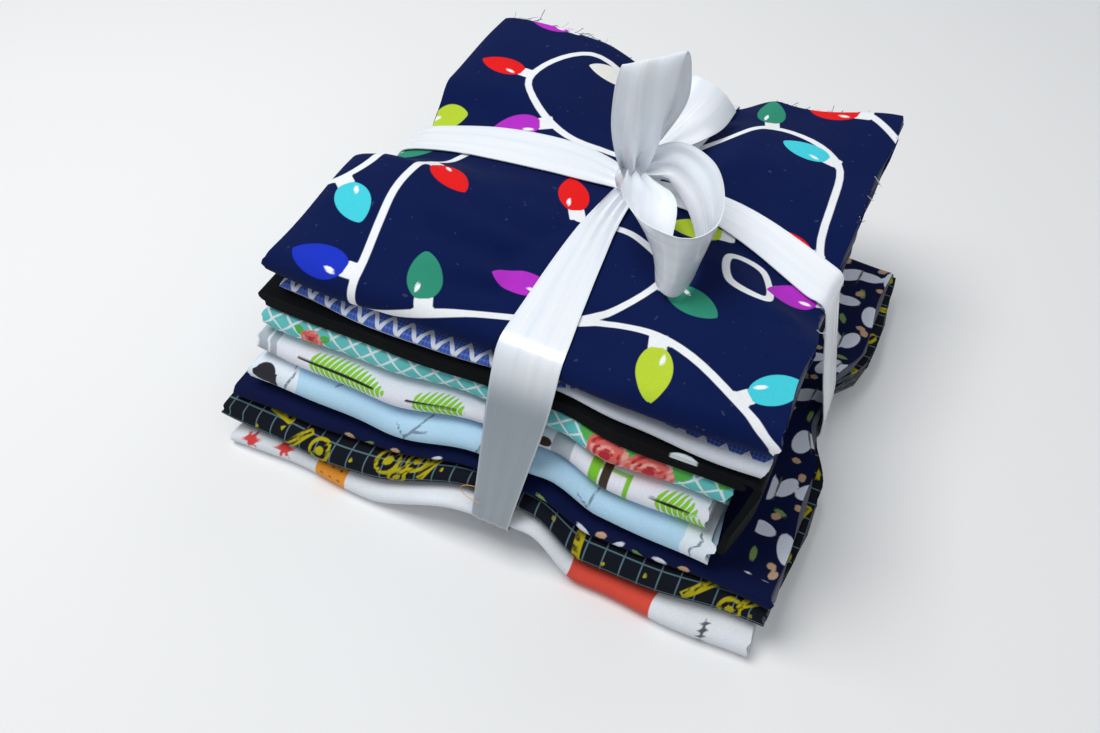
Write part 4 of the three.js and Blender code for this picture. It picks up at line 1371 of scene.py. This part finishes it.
def band(centre, side, width, cup, ring, pleats, phase, shade=None, swell=0, square=1):
    """Thin band along rows: two sides of points, print coordinates in millimetres and its painted shade.

    square turns the cross lines square to the band; swell adds folds round the knot.
    """
    before, after = np.roll(centre, 1, 0), np.roll(centre, -1, 0)
    if not ring:
        before[0], after[-1] = centre[0], centre[-1]
    along = unit(after - before)
    side = unit(side - square * along * np.sum(side * along, 1, keepdims=True))
    out = unit(np.cross(side, along))
    run = run_length(centre)[:, None]
    across = ACROSS[None]
    gathered = np.clip(1 - width / RIBBON_WIDTH, 0, 1)[:, None]
    fold = np.sin(2 * math.pi * pleats * (across + 0.5) + phase + 0.8 * np.sin(run / 21))
    knot = np.array([KNOT["x"], KNOT["y"], TOP_HEIGHT])
    apart = np.linalg.norm(centre - knot, axis=1)[:, None]
    pleat = PLEAT_DEPTH * gathered ** 1.6 * (0.3 + 0.7 * np.exp(-(apart / PLEAT_REACH) ** 2))
    pleat = pleat + swell * np.exp(-(apart / SWELL_REACH) ** 2)
    lift = cup[:, None] * (1 - 4 * across ** 2) + pleat * fold + RIPPLE * np.sin(run / 9.1 + 5 * across)
    middle = centre[:, None] + across[..., None] * side[:, None] * width[:, None, None]
    middle = middle + lift[..., None] * out[:, None]
    sides = [middle + s * RIBBON_THICK / 2 * out[:, None] for s in (1, -1)]
    shade = np.zeros(len(run)) if shade is None else shade
    u, v, shade = (np.broadcast_to(a, lift.shape) for a in (across * RIBBON_WIDTH, run, shade[:, None]))
    return sides, u, v, ring, shade


def tie_band(table, axis, middle):
    """A band drawn tight round the stack; axis is the direction it runs in."""
    along, across = all_points[:, axis] - middle, all_points[:, 1 - axis]
    z = all_points[:, 2]
    turn = np.degrees(np.arctan2(z - TOP_HEIGHT / 2, along))
    near = np.abs(across - tie_value(table, turn, 1)) < tie_value(table, turn, 2) / 2 + TIE_MARGIN
    ring = even_ring(tight_outline(np.stack([along[near], z[near]], 1)), RING_STEP)
    tangent = unit(np.roll(ring, -1, 0) - np.roll(ring, 1, 0))
    ring = ring + (RIBBON_GAP + RIBBON_THICK / 2) * np.stack([tangent[:, 1], -tangent[:, 0]], 1)
    turn = np.degrees(np.arctan2(ring[:, 1] - TOP_HEIGHT / 2, ring[:, 0]))
    centre = np.zeros((len(ring), 3))
    centre[:, axis] = ring[:, 0] + middle
    centre[:, 1 - axis] = softened(tie_value(table, turn, 1))
    centre[:, 2] = ring[:, 1]
    side = np.zeros_like(centre)
    side[:, 1 - axis] = 1 if axis == 0 else -1
    width = softened(tie_value(table, turn, 2))
    shade = None
    # Painted shade on the length tie's drop at the front
    if axis == 1:
        shade = ramp(-ring[:, 0], *PAINTED_SHADE_FORWARD) * ramp(TOP_HEIGHT - ring[:, 1], *PAINTED_SHADE_BELOW)
    return band(centre, side, width, np.zeros(len(ring)), True, TIE_PLEATS, 1.0 + axis, shade)


def bow_band(table, count, pleats, phase, swell, square=1):
    """Smooth band through the rows of a bow table."""
    smooth = path_points(table, count)
    centre, side, width, cup = smooth[:, :3], smooth[:, 3:6], smooth[:, 6], smooth[:, 7]
    return band(centre, side, width, cup, False, pleats, phase, None, swell, square)


def knot_points():
    """The knot: a pinched lump with ridges that run over it."""
    base = float(top_height(np.array(float(KNOT["x"])), np.array(float(KNOT["y"])))) + RIBBON_GAP
    theta = np.linspace(0.02, math.pi - 0.02, KNOT_ROWS)[:, None]
    phi = np.linspace(0, 2 * math.pi, KNOT_COLUMNS)[None, :]
    x, y, z = np.sin(theta) * np.cos(phi), np.sin(theta) * np.sin(phi), np.cos(theta) + 0 * phi
    ridge = 1 + 0.09 * np.sin(7 * phi + 2 * z) * np.sin(theta) + 0.05 * np.sin(9 * x + 4 * z)
    points = np.stack([KNOT["x"] + x * KNOT["radius_x"] * ridge, KNOT["y"] + y * KNOT["radius_y"] * ridge,
                       base + (1 + z) * KNOT["radius_z"]], 2)
    return points, KNOT_PRINT * (phi + 0 * theta), KNOT_PRINT * (theta + 0 * phi)


# Satin: two tones, the painted shade of the front drop, the woven edge, pitch of the lengthwise threads in
# millimetres and their depth in metres, and how closely the streaks lie across and along
SATIN = ((0.82, 0.88, 0.96), (0.94, 0.96, 0.98))
SATIN_PAINTED_SHADE = (0.27, 0.31, 0.35)
SATIN_EDGE = (0.66, 0.70, 0.76)
SATIN_EDGE_WIDTH = 0.8
SATIN_PITCH = 1.1
SATIN_DEPTH = 0.00004
STREAK_ACROSS = 0.33
STREAK_ALONG = 0.014


def ribbon_material():
    """White satin: fine lengthwise threads, long faint blue-grey streaks, a clear shine."""
    graph = Graph("ribbon")
    u, v = graph.print_place()
    place = graph.fill(graph.node("ShaderNodeCombineXYZ"), {
        "X": graph.math("MULTIPLY", u, STREAK_ACROSS), "Y": graph.math("MULTIPLY", v, STREAK_ALONG)})
    streak = graph.noise(1.0, 1.0, place)
    colour = graph.mix(graph.ranged(streak, 0.0, 1.0), *SATIN)
    # Painted shade: the front drop of the length tie is darkened
    colour = graph.mix(graph.field("shade"), colour, SATIN_PAINTED_SHADE)
    edge = graph.math("SUBTRACT", graph.math("ABSOLUTE", u), RIBBON_WIDTH / 2 - SATIN_EDGE_WIDTH)
    selvage = graph.math("MULTIPLY", graph.math("GREATER_THAN", edge, 0.0), 0.3)
    threads = graph.math("SINE", graph.math("MULTIPLY", u, 2 * math.pi / SATIN_PITCH))
    graph.fill(graph.shader, {
        "Base Color": graph.mix(selvage, colour, SATIN_EDGE),
        "Roughness": graph.ranged(streak, 0.2, 0.3),
        "Specular IOR Level": 0.9,
        "Coat Weight": 0.3,
        "Coat Roughness": 0.18,
        "Sheen Weight": 0.1,
        "Normal": graph.bump(threads, 0.12, SATIN_DEPTH),
    })
    return graph.material


def make_ribbon():
    """The whole ribbon as one piece: two ties, two loops, the free end and the knot."""
    bands = [
        tie_band(LENGTH_TIE, axis=1, middle=-10),
        tie_band(CROSS_TIE, axis=0, middle=0),
        bow_band(UPRIGHT_LOOP, count=10, pleats=2.1, phase=2.6, swell=2.8, square=0),
        bow_band(FRONT_LOOP, count=9, pleats=2.5, phase=2.0, swell=0.4),
        bow_band(FREE_END, count=10, pleats=2.0, phase=0.4, swell=1.4),
    ]
    points, faces, uv, shades, start = [], [], [], [], 0
    for sides, u, v, ring, shade in bands:
        rows, columns = u.shape
        points += [side.reshape(-1, 3) for side in sides]
        faces.append(grid_faces(rows, columns, ring) + start)
        uv += [np.stack([u.ravel(), v.ravel()], 1)] * 2
        shades += [shade.ravel()] * 2
        start += 2 * rows * columns
    knot, u, v = knot_points()
    rows, columns = u.shape
    i, j = np.arange(rows - 1)[:, None] * columns, np.arange(columns - 1)[None, :]
    faces.append(quads(i + j, i + columns + j, i + columns + j + 1, i + j + 1) + start)
    points.append(knot.reshape(-1, 3))
    uv.append(np.stack([u.ravel(), v.ravel()], 1))
    shades.append(np.zeros(u.size))
    points, faces, uv, shades = (np.concatenate(rows) for rows in (points, faces, uv, shades))
    piece = mesh_object("ribbon_band", to_frame(points), faces, uv, {"shade": shades}, ribbon_material())
    add_piece(piece)
    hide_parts("ribbon")


make_ribbon()

# Camera at the photograph's angle: width of the frame and focal length in pixels, turns in
# degrees, place in stack millimetres, width of the sensor in millimetres
PHOTO_WIDTH = 1100
FOCAL = 900
YAW, PITCH, ROLL = (math.radians(a) for a in (-21.68, 50.01, -3.88))
CAMERA_PLACE = np.array([87.2, -277.5, 317.7])
SENSOR = 36.0

# Floor in metres
FLOOR_HALF = 4.0
FLOOR_TONE = (0.88, 0.88, 0.88, 1)


def make_camera():
    """Camera turned by yaw, pitch and roll."""
    ahead = np.array([math.sin(YAW) * math.cos(PITCH), math.cos(YAW) * math.cos(PITCH), -math.sin(PITCH)])
    right = np.array([math.cos(YAW), -math.sin(YAW), 0.0])
    down = np.cross(ahead, right)
    c, s = math.cos(ROLL), math.sin(ROLL)
    right, down = c * right + s * down, -s * right + c * down
    data = bpy.data.cameras.new("camera")
    data.sensor_width = SENSOR
    data.lens = SENSOR * FOCAL / PHOTO_WIDTH
    data.clip_start, data.clip_end = 0.01, 20
    camera = add_object("camera", data)
    axes = Matrix([right, -down, -ahead]).transposed().to_4x4()
    axes.translation = Vector(to_frame(CAMERA_PLACE))
    camera.matrix_world = axes
    bpy.context.scene.camera = camera


def make_floor():
    """Plain pale floor under the stack."""
    mesh = bpy.data.meshes.new("floor")
    half = FLOOR_HALF
    corners = [(-half, -half, 0), (half, -half, 0), (half, half, 0), (-half, half, 0)]
    mesh.from_pydata(corners, [], [(0, 1, 2, 3)])
    graph = Graph("floor")
    graph.fill(graph.shader, {"Base Color": FLOOR_TONE, "Roughness": 0.9})
    mesh.materials.append(graph.material)
    floor = add_object("floor", mesh)


# Soft lights: place, size, power
LIGHTS = [((-0.4, -0.1, 1.0), 0.6, 7.8), ((0.5, -0.6, 0.95), 0.9, 1.8), ((0.3, 0.9, 0.8), 0.8, 1.5)]
LIGHT_AIM = (0, 0, 0.05)
SKY_TONE = (0.88, 0.94, 1.0, 1)
SKY_STRENGTH = 0.3


def make_lights():
    """Soft lights round the stack and a pale sky."""
    for k, (place, size, power) in enumerate(LIGHTS):
        data = bpy.data.lights.new(f"light_{k}", "AREA")
        data.size, data.energy = size, power
        light = add_object(f"light_{k}", data)
        light.location = place
        light.rotation_euler = (Vector(LIGHT_AIM) - Vector(place)).to_track_quat("-Z", "Y").to_euler()
    world = bpy.data.worlds.new("studio")
    world.use_nodes = True
    sky = world.node_tree.nodes["Background"]
    sky.inputs[0].default_value, sky.inputs[1].default_value = SKY_TONE, SKY_STRENGTH
    bpy.context.scene.world = world
    bpy.context.scene.view_settings.view_transform = "Standard"


make_camera()
make_floor()
make_lights()

bpy.context.view_layer.update()
